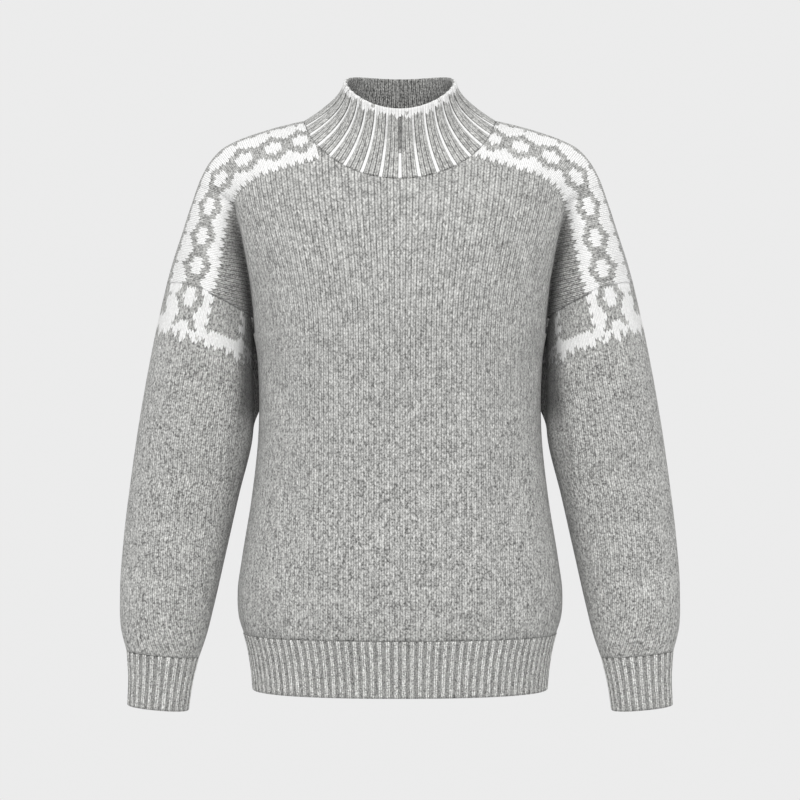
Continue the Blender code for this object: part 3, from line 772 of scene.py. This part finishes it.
def band_coordinates(x, z):
    """Stitch numbers along the pattern band and across it, both from the middle of a ring."""
    flat = np.stack([np.abs(x).ravel(), z.ravel()], axis=1)
    _, to_outline = nearest_on(smooth_line(SHOULDER_LINE, OUTLINE_STEPS), flat)
    middle = ARM_RADIUS * math.acos(1.0 - RING_INSET / ARM_RADIUS)
    result = np.zeros((len(flat), 2))
    for side_sign in (-1, 1):
        mine = (np.sign(x).ravel() == side_sign) | ((x.ravel() == 0) & (side_sign == 1))
        curve, ring = ring_curve(side_sign)
        index, gap = nearest_on(curve, flat[mine])
        way = np.gradient(curve, axis=0)[index]
        off = flat[mine] - curve[index]
        gap = gap * np.sign(off[:, 0] * way[:, 1] - off[:, 1] * way[:, 0])
        outer_gap = to_outline[mine]
        squeezed = RING_INSET * outer_gap / np.maximum(1e-6, outer_gap - gap)
        inset = np.where(gap < 0, squeezed, RING_INSET + gap)
        arc = ARM_RADIUS * np.arccos(np.clip(1.0 - inset / ARM_RADIUS, -1.0, 1.0))
        result[mine, 0] = RING_STITCHES * ring[index] + 0.5
        result[mine, 1] = (arc - middle) / BAND_STITCH
    return result.reshape(x.shape + (2,))


def rise_table(side):
    """Length of cloth up from the underarm, against height, beside the neck."""
    z = np.linspace(UNDERARM_Z, 8.0, 400)
    depth = yoke_depth(np.full(len(z), 60.0), z, side)
    return z, lengths_along(np.stack([z, depth], axis=1))


def panel_maps(points, side):
    """Numbers for the knit of a panel: body stitches, band stitches, and which of the two holds."""
    x, z = points[..., 0], points[..., 2]
    spread = at_height(SHOULDER_SECTIONS, 1, np.maximum(z, UNDERARM_Z)) / UNDERARM_X
    level = body_quarter(UNDERARM_Z, side)
    wale = np.sign(x) * np.interp(np.abs(x) / spread, level[:, 0], lengths_along(level))
    for row in range(LOWER_ROWS + 1):
        wale[row] = panel_shares() * lengths_along(body_quarter(z[row, 0], side))[-1]
    course = np.where(z < UNDERARM_Z, z - UNDERARM_Z, np.interp(z, *rise_table(side)))
    band = np.zeros(x.shape + (2,))
    band[..., 1] = OUTSIDE_BAND
    near = CAMERA_DISTANCE / (CAMERA_DISTANCE - np.abs(points[LOWER_ROWS:, :, 1]) * MM)
    middle_z = VIEW_MIDDLE_Z / MM
    seen_z = middle_z + (z[LOWER_ROWS:] - middle_z) * near
    band[LOWER_ROWS:] = band_coordinates(x[LOWER_ROWS:] * near, seen_z)
    past = np.where(z < UNDERARM_Z - 0.5, -1.0, past_crease(np.abs(x), z) / ZONE_UNIT)
    knit = pairs(wale / BODY_WALE, course / BODY_COURSE)
    return {"knit": knit, "band": band, "zone": pairs(past, np.zeros(x.shape))}


def sleeve_maps(rings):
    """Numbers for the knit of a sleeve. Those of the band are counted round from the outer edge."""
    steps = np.linalg.norm(np.roll(rings, -1, axis=1) - rings, axis=2)
    outer = rings.shape[1] // 2
    run = np.concatenate([np.zeros((len(rings), 1)), np.cumsum(steps, axis=1)], axis=1)
    signed = run - run[:, outer : outer + 1]
    around = np.minimum(np.abs(signed), run[:, -1:] - np.abs(signed))
    down = lengths_along(rings[:, outer])[:, None] * np.ones(run.shape)
    knit = pairs(signed / SLEEVE_WALE, -down / SLEEVE_COURSE)
    band = pairs((around - SLEEVE_RING_ARC) / BAND_STITCH + 0.5, down / BAND_STITCH + 0.5)
    return {"knit": knit, "band": band, "zone": pairs(around, down) / ZONE_UNIT}


def operation(kind, other_first=False):
    """A method that adds a node of one kind of arithmetic."""

    def method(self, *others):
        return self.graph.math(kind, *(others + (self,) if other_first else (self,) + others))

    return method


class Value:
    """A number or colour in a material's graph, which takes the usual signs of arithmetic."""

    def __init__(self, graph, socket):
        self.graph = graph
        self.socket = socket

    __add__ = __radd__ = operation("ADD")
    __mul__ = __rmul__ = operation("MULTIPLY")
    __sub__ = operation("SUBTRACT")
    __rsub__ = operation("SUBTRACT", True)
    __truediv__ = operation("DIVIDE")
    __mod__ = operation("FLOORED_MODULO")
    __lt__ = operation("LESS_THAN")
    __gt__ = operation("GREATER_THAN")
    __abs__ = operation("ABSOLUTE")
    fract = operation("FRACT")
    floor = operation("FLOOR")
    power = operation("POWER")
    least = operation("MINIMUM")
    most = operation("MAXIMUM")

    def wave(self):
        """Half a wave over each whole number."""
        return self.graph.math("SINE", self.fract() * math.pi)

    def mapped(self, low, high, to_low, to_high, smoothly=False):
        node = self.graph.nodes.new("ShaderNodeMapRange")
        node.interpolation_type = "SMOOTHSTEP" if smoothly else "LINEAR"
        return self.graph.fill(node, (self, low, high, to_low, to_high))


def blend(part, a, b):
    return a + part * (b - a)


class Graph:
    """A material and short ways to add nodes to it."""

    def __init__(self, name):
        self.material = bpy.data.materials.new(name)
        self.material.use_nodes = True
        self.nodes = self.material.node_tree.nodes
        self.links = self.material.node_tree.links
        self.shader = self.nodes["Principled BSDF"]
        self.place = Value(self, self.nodes.new("ShaderNodeTexCoord").outputs["Object"])

    def put(self, socket, value):
        if isinstance(value, Value):
            self.links.new(value.socket, socket)
        else:
            socket.default_value = value

    def set(self, node, values):
        for label, value in values.items():
            self.put(node.inputs[label], value)

    def fill(self, node, values):
        """Gives a node's first inputs their values, and returns its first output."""
        for socket, value in zip(node.inputs, values):
            self.put(socket, value)
        return Value(self, node.outputs[0])

    def math(self, kind, *values):
        node = self.nodes.new("ShaderNodeMath")
        node.operation = kind
        return self.fill(node, values)

    def pair(self, label):
        node = self.nodes.new("ShaderNodeUVMap")
        node.uv_map = label
        split = self.nodes.new("ShaderNodeSeparateXYZ")
        self.links.new(node.outputs[0], split.inputs[0])
        return Value(self, split.outputs[0]), Value(self, split.outputs[1])

    def vector(self, x, y, z):
        return self.fill(self.nodes.new("ShaderNodeCombineXYZ"), (x, y, z))

    def noise(self, scale, detail):
        node = self.nodes.new("ShaderNodeTexNoise")
        self.set(node, {"Scale": scale, "Detail": detail, "Roughness": 0.6})
        return self.fill(node, (self.place,))

    def random(self, x, y, z):
        node = self.nodes.new("ShaderNodeTexWhiteNoise")
        node.noise_dimensions = "3D"
        return self.fill(node, (self.vector(x, y, z),))

    def mix_colour(self, part, a, b, kind="MIX"):
        node = self.nodes.new("ShaderNodeMix")
        node.data_type = "RGBA"
        node.blend_type = kind
        for number, value in ((0, part), (6, a), (7, b)):
            self.put(node.inputs[number], value)
        return Value(self, node.outputs[2])

    def chart(self, rows, row, place):
        """1 where a chart is white, by its row out from the middle and its column from the middle."""
        node = self.nodes.new("ShaderNodeValToRGB")
        bar = node.color_ramp
        bar.interpolation = "CONSTANT"
        for number, marks in enumerate(rows):
            tone = sum(2**bit for bit, mark in enumerate(marks) if mark == ".") / CODE_LIMIT
            stop = bar.elements[number] if number < 2 else bar.elements.new(1.0)
            stop.position = number / len(rows)
            stop.color = (tone, tone, tone, 1.0)
        code = self.fill(node, ((row.least(len(rows) - 1.0) + 0.5) / len(rows),)) * CODE_LIMIT
        shifted = (code + 0.5) / self.math("POWER", 2.0, place)
        return shifted.floor() % 2.0


def stitches(wale, course):
    """Number and row of a stitch, which leg it is, its height, and the grooves beside and in it."""
    part = wale.fract()
    wing = abs(part * 2.0 - 1.0)
    leaned = course + V_SLANT / 2 - wing * V_SLANT
    step = leaned.wave()
    return {
        "number": wale.floor(),
        "row": leaned.floor(),
        "leg": part > 0.5,
        "height": (wale * 2.0).wave().power(0.7) * (0.45 + step.power(0.6) * 0.55),
        "gap": wing.mapped(0.62, 0.98, 0.0, 1.0, True),
        "split": wing.mapped(0.0, 0.3, 1.0, 0.0, True),
        "step": step,
    }


def wool(g, stitch, white, shade, gap, fleck_share=0.62, split=0.45, scale=FLECK_SCALE):
    """Rough marl yarn with a soft nap: each leg of a stitch its own tone, with flecks and clouds."""
    own = g.random(stitch["number"], stitch["row"], stitch["leg"])
    fleck = g.noise(scale, 1.0)
    cloud = g.noise(CLOUD_SCALE, 2.0)
    spots = fleck.mapped(0.3, 0.7, -0.5, 0.5) * fleck_share
    tone = 0.5 + (own - 0.5) * STITCH_SHARE + (spots + (cloud - 0.5) * CLOUD_SHARE)
    tone = tone.most(0.0).least(1.0)
    grey = g.mix_colour(tone, GREY_DARK, GREY_LIGHT)
    pale = g.mix_colour(tone, WHITE_DARK, WHITE_LIGHT)
    # Painted shade in the grooves between stitches and rows; shade scales the colour by each paint's painted
    # shade and light, and by some plain tone.
    groove_shade = stitch["gap"] * gap + stitch["split"] * (gap * split) + (1.0 - stitch["step"]) * ROW_GROOVE_SHADE
    light = (1.0 - groove_shade * (1.0 - white * WHITE_EASE)) * shade
    colour = g.mix_colour(1.0, g.mix_colour(white, grey, pale), g.vector(light, light, light), "MULTIPLY")
    height = stitch["height"] + (fleck * 0.25 + g.noise(FIBRE_SCALE, 2.0) * 0.25)
    bump = g.nodes.new("ShaderNodeBump")
    g.set(bump, {"Strength": 0.8, "Distance": RELIEF, "Height": height})
    g.links.new(bump.outputs[0], g.shader.inputs["Normal"])
    g.set(g.shader, {"Base Color": colour, "Roughness": 0.95, "Specular IOR Level": 0.12})
    g.set(g.shader, {"Sheen Weight": 0.25, "Sheen Roughness": 0.5})
    return g.material


def ring_white(g, along_band, across_band):
    """1 where the band is white, from whole stitch numbers along it and across it."""
    half = RING_STITCHES // 2
    place = abs((along_band + half) % RING_STITCHES - half)
    row = abs(across_band)
    return blend(across_band > 0.0, g.chart(OUTER_CHART, row, place), g.chart(INNER_CHART, row, place))


def panel_paint():
    """Plain knit up the body, the patterned band over the shoulder, and plain knit across the arm."""
    g = Graph("panel_knit")
    body_wale, body_course = g.pair("knit")
    band_wale, band_course = g.pair("band")
    past = g.pair("zone")[0]
    near = (band_course < len(INNER_CHART) - 1.0) * (band_wale > BAND_END)
    in_band = near.most(past > 0.0)
    wale = blend(in_band, body_wale, band_wale)
    stitch = stitches(wale, blend(in_band, body_course, 0.5 - band_course))
    white = in_band * ring_white(g, stitch["number"], stitch["row"] * -1.0)
    uneven = g.random(stitch["number"], (stitch["row"] * 0.4).floor(), 8.0)
    body_gap = body_course.mapped(*BODY_GAP) * (0.6 + uneven * 0.6)
    gap = blend(in_band, body_gap, band_course.mapped(*ARM_GAP))
    # Painted shadow: the chest's colour darkens beside the crease with the upper arm, more strongly lower
    # down.
    crease = past.mapped(*CREASE_SHADOW_ACROSS) * (past > -0.008) * body_course.mapped(*CREASE_SHADOW_UP)
    shade = 1.0 - crease * CREASE_SHADE
    return wool(g, stitch, white, shade, gap, blend(in_band, body_course.mapped(*BODY_FLECK), 0.58))


def sleeve_paint():
    """Last ring of the pattern and a ragged white border below the armhole seam, then plain knit."""
    g = Graph("sleeve_knit")
    plain_wale, plain_course = g.pair("knit")
    band_wale, band_course = g.pair("band")
    around, below_seam = g.pair("zone")
    patterned = band_course < BORDER_END + 3.0
    wale = blend(patterned, plain_wale, band_wale)
    stitch = stitches(wale, blend(patterned, plain_course, band_course * -1.0))
    number = stitch["number"]
    down = (stitch["row"] + 1.0) * -1.0
    last = blend(abs(number) < 4.5, BORDER_START, SLEEVE_RING_STITCH + RING_STITCHES)
    ring = ring_white(g, down - SLEEVE_RING_STITCH, number) * (down < last)
    starts = last - (0.2 + g.random(number, 7.0, 2.0) * 0.9)
    ends = BORDER_END - 1.1 + g.random(number, 3.0, 5.0) * 3.0
    broken = g.random(number, down, 9.0)
    border = (down > starts) * (down < ends) * (broken > number.mapped(*BORDER_WEAR))
    streak = (number > STREAK_START) * (number < STREAK_END) * (down < BORDER_START + 1.0)
    streak = streak * (broken > number.mapped(*STREAK_WEAR))
    white = patterned * ring.most(border.most(streak))
    # Painted shadow of the armhole seam's groove: the sleeve's colour darkens just below the seam.
    seam_shadow = (below_seam < 0.016) * (band_wale > 6.0)
    # Painted shade on the sleeve's inner side where it leans on the body, and painted light lower down the
    # sleeve.
    near_body = around.mapped(*ARM_SHADE_ROUND) * below_seam.mapped(*ARM_SHADE_DOWN)
    shade = (1.0 - seam_shadow * 0.6) * (1.0 - near_body * 0.8) * below_seam.mapped(*ARM_LIGHT_DOWN)
    return wool(g, stitch, white, shade, 0.34, 0.66)


def collar_paint():
    """Ribs of three plain wales between narrow white valleys, with a white edge."""
    g = Graph("collar_knit")
    rib, up = g.pair("knit")
    above_seam = g.pair("zone")[1]
    part = rib.fract()
    valley = abs(part - 0.5) > 0.5 - COLLAR_VALLEY
    wale = (part - COLLAR_VALLEY) * COLLAR_WALES / (1.0 - 2 * COLLAR_VALLEY)
    stitch = stitches(blend(valley, wale, 0.5) + rib.floor() * 7.0, up)
    chance = g.random(stitch["number"], stitch["row"], 2.0)
    edge = stitch["row"] > -2.1 - (chance > 0.7)
    below_edge = 1.0 - edge
    from_middle = abs(abs(rib - COLLAR_RIBS / 2) - COLLAR_RIBS / 2)
    slit = valley * (from_middle < 0.5)
    stripe = valley * (1.0 - slit * (above_seam > STRIPE_START))
    faint = (from_middle < 1.5) * 0.4 * above_seam.mapped(*FAINT_STRIPE_UP)
    white = (stripe * (1.0 - faint)).most(edge * (chance > 0.06))
    # Painted shadow: a thin dark line on each white stripe's outer side, where the rib beside it would shade
    # the valley.
    outer_part = blend(rib > COLLAR_RIBS / 2, part, 1.0 - part)
    line = abs(outer_part - (COLLAR_VALLEY + RIB_SHADOW_HALF)) < RIB_SHADOW_HALF
    line = line * below_edge * above_seam.mapped(*RIB_SHADOW_UP)
    # Painted shadow of the neck seam's groove: a broken dark line just above the seam.
    seam = (above_seam < SEAM_SHADOW_REACH) * (g.random(stitch["number"], 4.0, 6.0) > 0.35)
    # Painted shadow in the slit between the two middle ribs, above the white stripe.
    core = abs((rib + 0.5).fract() - 0.5) < 0.05
    slit_shadow = slit * (above_seam > SLIT_END) * below_edge * blend(core, 0.1, 0.6)
    shade = blend(white, 1.05, 0.91) - (seam * 0.4 + (line + slit_shadow))
    return wool(g, stitch, white, shade, 0.72, 0.42, 0.3)


def rib_paint():
    """Two by two rib: two plain wales on each rib and turned stitches in the valleys."""
    g = Graph("rib_knit_paint")
    rib, up = g.pair("knit")
    above_edge = g.pair("zone")[0]
    part = abs(rib.fract() - 0.5)
    # Painted shade: the valleys between ribs are darker than the ribs, and the colour darkens just above the
    # bottom edge.
    shade = part.mapped(*RIB_SHADE_ACROSS) * above_edge.mapped(*RIB_SHADE_DOWN)
    gap = blend(part > 0.27, 0.8, 0.35)
    return wool(g, stitches(rib * 4.0, up), 0.0, shade, gap, 0.72, 0.15, RIB_FLECK_SCALE)


def inside_paint(name, wales, shade, gap):
    """Inside of the cloth, in narrow ribs of turned stitches."""
    g = Graph(name)
    wale, course = g.pair("knit")
    return wool(g, stitches(wale * wales, course), 0.0, shade, gap, 0.7)


def add_knit(name, outer, inner, maps, closed, paints):
    maps = {label: both_sides(values, values) for label, values in maps.items()}
    return make_piece(name, both_sides(outer, inner), maps, closed, len(outer), paints)


def add_panel(name, points, out, side, paints):
    inner = points - WALL * out
    maps = panel_maps(points, side)
    part_at_seam(points, side)
    part_at_seam(inner, side)
    return add_knit(name, points, inner, maps, False, paints)


def add_sleeve(name, rings, out, paints):
    inner = rings - WALL * out
    maps = sleeve_maps(rings)
    aside = math.copysign(SEAM_GAP / 2, rings[0, 0, 0])
    for layer in (rings, inner):
        draw_down(layer, SLEEVE_GAP)
        layer[0, 0, 0] += aside
    return add_knit(name, rings, inner, maps, True, paints)


def closed_along(points, shares):
    return along(np.concatenate([points, points[:1]]), np.mod(shares, 1.0))


def neck_seam(front, front_out, back, back_out):
    """Neck seam of both panels as one ring of outer points and one of inner points."""
    top = front.shape[0] - 1
    near = [number for number, signed in enumerate(panel_shares()) if abs(signed) <= NECK_SHARE + 0.001]
    order = [(front, front_out, number) for number in near if number >= HALF_COLUMNS]
    order += [(back, back_out, number) for number in reversed(near[:-1])]
    order += [(front, front_out, number) for number in near[1:] if number < HALF_COLUMNS]
    outer = np.array([points[top, number] for points, _, number in order])
    run = lengths_along(np.concatenate([outer, outer[:1]]))
    collar = collar_surface(outer, run[:-1] / run[-1])
    for (_, out, number), own in zip(order, outward_tube(collar)[0]):
        out[top, number] = unit(out[top, number] + own)
    for share in (-NECK_SHARE, NECK_SHARE):
        number = HALF_COLUMNS + round(share * HALF_COLUMNS)
        share_direction((front_out, (top, number)), (back_out, (top, number)))
    inner = np.array([points[top, number] - WALL * out[top, number] for points, out, number in order])
    return outer, inner


def rim_line():
    turn = np.linspace(0.0, 2 * math.pi, 4 * CURVE_STEPS)
    second = (RIM_FRONT_Z + RIM_BACK_Z) / 4 - RIM_SIDE_Z / 2
    level = RIM_SIDE_Z + second
    tilt = (RIM_FRONT_Z - RIM_BACK_Z) / 2
    x = RIM_HALF_WIDTH * np.sin(turn)
    y = RIM_MIDDLE_Y - RIM_HALF_DEPTH * np.cos(turn)
    return np.stack([x, y, level + tilt * np.cos(turn) + second * np.cos(2 * turn)], axis=1)


def collar_surface(seam, shares):
    low = closed_along(seam, shares)
    high = along(rim_line(), shares)
    rows = []
    for rise in np.linspace(0.0, 1.0, COLLAR_ROWS + 1):
        flare = (1.0 - rise) ** COLLAR_FLARE
        rows.append(high + (low - high) * np.array([flare, flare, 1.0 - rise]))
    return np.array(rows)


def collar_profile(part):
    """Height of a collar rib from valley to valley, as a share of the whole: three wales, rounded over."""
    middle = np.abs(part - 0.5) / 0.5
    body = np.clip(1.0 - ramp(middle, 0.62, 0.86), 0.0, 1.0)
    return body * (0.86 + 0.14 * np.cos(middle * math.pi / 1.6))


def band_profile(part):
    """Height of a hem or cuff rib: two plain wales with a small dip between them."""
    middle = np.abs(part - 0.5) / 0.5
    body = 1.0 - ramp(middle, 0.38, 0.78)
    dip = 0.22 * np.exp(-((middle / 0.12) ** 2))
    return np.clip(body - dip, 0.0, 1.0)


def wrap(values):
    """Repeats the first column after the last one, where a tube closes."""
    return np.concatenate([values, values[:, :1]], axis=1)


def rim_maps(values):
    edge = np.repeat(values[-1:], RIM_TURNS + 2, axis=0)
    return both_sides(np.concatenate([values[:-2], edge]), values[:-2])


def down_rows(rings):
    """Length of cloth from the first row to each row, in each column."""
    steps = np.linalg.norm(np.diff(rings, axis=0), axis=2)
    return np.cumsum(np.concatenate([np.zeros((1, rings.shape[1])), steps]), axis=0)


def add_ribbed(name, outer, inner, ribs, course, from_seam, outer_rows, paints):
    """Ribbed tube with a free edge. course and from_seam are lengths of cloth at each point."""
    count = outer.shape[1]
    rib = np.arange(count + 1) * ribs / count * np.ones((len(outer), 1))
    zone = wrap(pairs(from_seam[-1:] - from_seam, from_seam) / ZONE_UNIT)
    maps = {"knit": rim_maps(pairs(rib, -wrap(course) / RIB_COURSE)), "zone": rim_maps(zone)}
    return make_piece(name, over_the_rim(outer, inner), maps, True, outer_rows, paints)


def add_collar(seam_outer, seam_inner, paints):
    count = COLLAR_RIBS * COLLAR_STEPS
    shares = np.arange(count) / count
    rows = collar_surface(seam_outer, shares)
    inner = rows - WALL * outward_tube(rows)
    run = lengths_along(np.concatenate([seam_outer, seam_outer[:1]]))
    loop = np.concatenate([seam_inner, seam_inner[:1]])
    inner[0] = np.stack([np.interp(shares * run[-1], run, axis) for axis in loop.T], axis=1)
    beside = np.maximum(0.0, 1.0 - np.abs(rows[0, :, 1]) / NECK_TURN_REACH)
    for layer in (rows, inner):
        draw_down(layer, SEAM_GAP + NECK_TURN_GAP * beside)
    rise = np.linspace(0.0, 1.0, COLLAR_ROWS + 1)
    lift = (0.45 + 0.55 * np.minimum(1.0, 3 * rise)) * COLLAR_RIB_HEIGHT
    profile = collar_profile(np.mod(shares * COLLAR_RIBS, 1.0))
    outer = rows + unit(rows - inner) * (profile[None, :] * lift[:, None])[..., None]
    height = down_rows(rows)
    course = height[-1:] - height
    outer_rows = len(outer) - 1 + RIM_TURNS // 2
    return add_ribbed("collar", outer, inner, COLLAR_RIBS, course, height, outer_rows, paints)


def add_band(name, rings, ribs, paints):
    out = outward_tube(rings)
    level_end(out[0], rings[0])
    level_end(out[-1], rings[-1])
    count = rings.shape[1]
    profile = band_profile(np.mod(np.arange(count) * ribs / count, 1.0)) * BAND_RIB_HEIGHT
    outer = rings - BAND_RIB_HEIGHT / 2 * out + out * profile[None, :, None]
    down = down_rows(rings)
    outer_rows = len(outer) - 2 + RIM_TURNS
    return add_ribbed(name, outer, rings - WALL * out, ribs, down, down, outer_rows, paints)


def hem_rings():
    shares = np.arange(HEM_RIBS * BAND_STEPS) / (HEM_RIBS * BAND_STEPS)
    rings = []
    for z in np.linspace(HEM_SEAM_Z - SEAM_GAP, BODY_SECTIONS[0][0], HEM_ROWS + 1):
        half = np.concatenate([body_quarter(z, FRONT) * (1, -1), body_quarter(z, BACK)[::-1][1:]])
        loop = np.concatenate([half, half[::-1][1:-1] * (-1, 1)])
        rings.append(closed_along(np.insert(loop, 2, z, axis=1), shares))
    return np.array(rings)


def cuff_rings(side):
    shares = np.arange(CUFF_RIBS * BAND_STEPS) / (CUFF_RIBS * BAND_STEPS)
    turn = 2 * math.pi * np.arange(2 * CURVE_STEPS) / (2 * CURVE_STEPS)
    rings = []
    for step in range(CUFF_ROWS + 1):
        loop = tube_ring(table_section(CUFF_SECTIONS, step / CUFF_ROWS), turn)
        rings.append(closed_along(loop, shares) * np.array([side, 1.0, 1.0]))
    return np.array(rings)


def dress():
    front, front_out, back, back_out, sleeves, outs = body_and_sleeves()
    seam_outer, seam_inner = neck_seam(front, front_out, back, back_out)
    # The insides are darker copies of the knit: painted shade for the shadow inside the hollow.
    inside = inside_paint("panel_inside", 1.0, 0.7, 0.5)
    panel = [panel_paint(), inside]
    arm = [sleeve_paint(), inside]
    rib_inside = inside_paint("rib_inside", 3.0, 0.77, 0.9)
    items = {
        "front": add_panel("front", front, front_out, FRONT, panel),
        "back": add_panel("back", back, back_out, BACK, panel),
    }
    for name in sleeves:
        items[name] = add_sleeve(name, sleeves[name], outs[name], arm)
    items["collar"] = add_collar(seam_outer, seam_inner, [collar_paint(), rib_inside])
    rib = [rib_paint(), rib_inside]
    items["hem_rib"] = add_band("hem_rib", hem_rings(), HEM_RIBS, rib)
    items["cuff_left"] = add_band("cuff_left", cuff_rings(1.0), CUFF_RIBS, rib)
    items["cuff_right"] = add_band("cuff_right", cuff_rings(-1.0), CUFF_RIBS, rib)
    return items


def add_camera():
    data = bpy.data.cameras.new("camera")
    data.sensor_width = SENSOR
    data.lens = SENSOR * CAMERA_DISTANCE / VIEW_HEIGHT
    data.clip_end = 50.0
    camera = link("camera", data)
    camera.location = (0.0, -CAMERA_DISTANCE, VIEW_MIDDLE_Z)
    camera.rotation_euler = (math.pi / 2, 0.0, 0.0)
    bpy.context.scene.camera = camera


def add_floor():
    turns = np.linspace(0, 2 * math.pi, FLOOR_SIDES + 1)[:-1]
    rim = [(FLOOR_RADIUS * math.cos(turn), FLOOR_RADIUS * math.sin(turn), FLOOR_Z) for turn in turns]
    data = bpy.data.meshes.new("floor")
    data.from_pydata(rim, [], [tuple(range(FLOOR_SIDES))])
    g = Graph("floor_paint")
    g.set(g.shader, {"Base Color": FLOOR_GREY, "Roughness": 1.0, "Specular IOR Level": 0.0})
    data.materials.append(g.material)
    floor = link("floor", data)


def add_studio():
    world = bpy.data.worlds.new("studio")
    world.use_nodes = True
    world.node_tree.nodes["Background"].inputs[0].default_value = BACKGROUND
    world.node_tree.nodes["Background"].inputs[1].default_value = 1.0
    bpy.context.scene.world = world
    for name, place, size, power in LIGHTS:
        data = bpy.data.lights.new(name, "AREA")
        data.shape = "SQUARE"
        data.size = size
        data.energy = power
        lamp = link(name, data)
        lamp.location = place
        aim = Vector(LIGHT_TARGET) - Vector(place)
        lamp.rotation_euler = aim.to_track_quat("-Z", "Y").to_euler()
    add_floor()
    view = bpy.context.scene.view_settings
    view.view_transform = "Standard"
    view.look = "None"


add_camera()
pieces = dress()
add_studio()
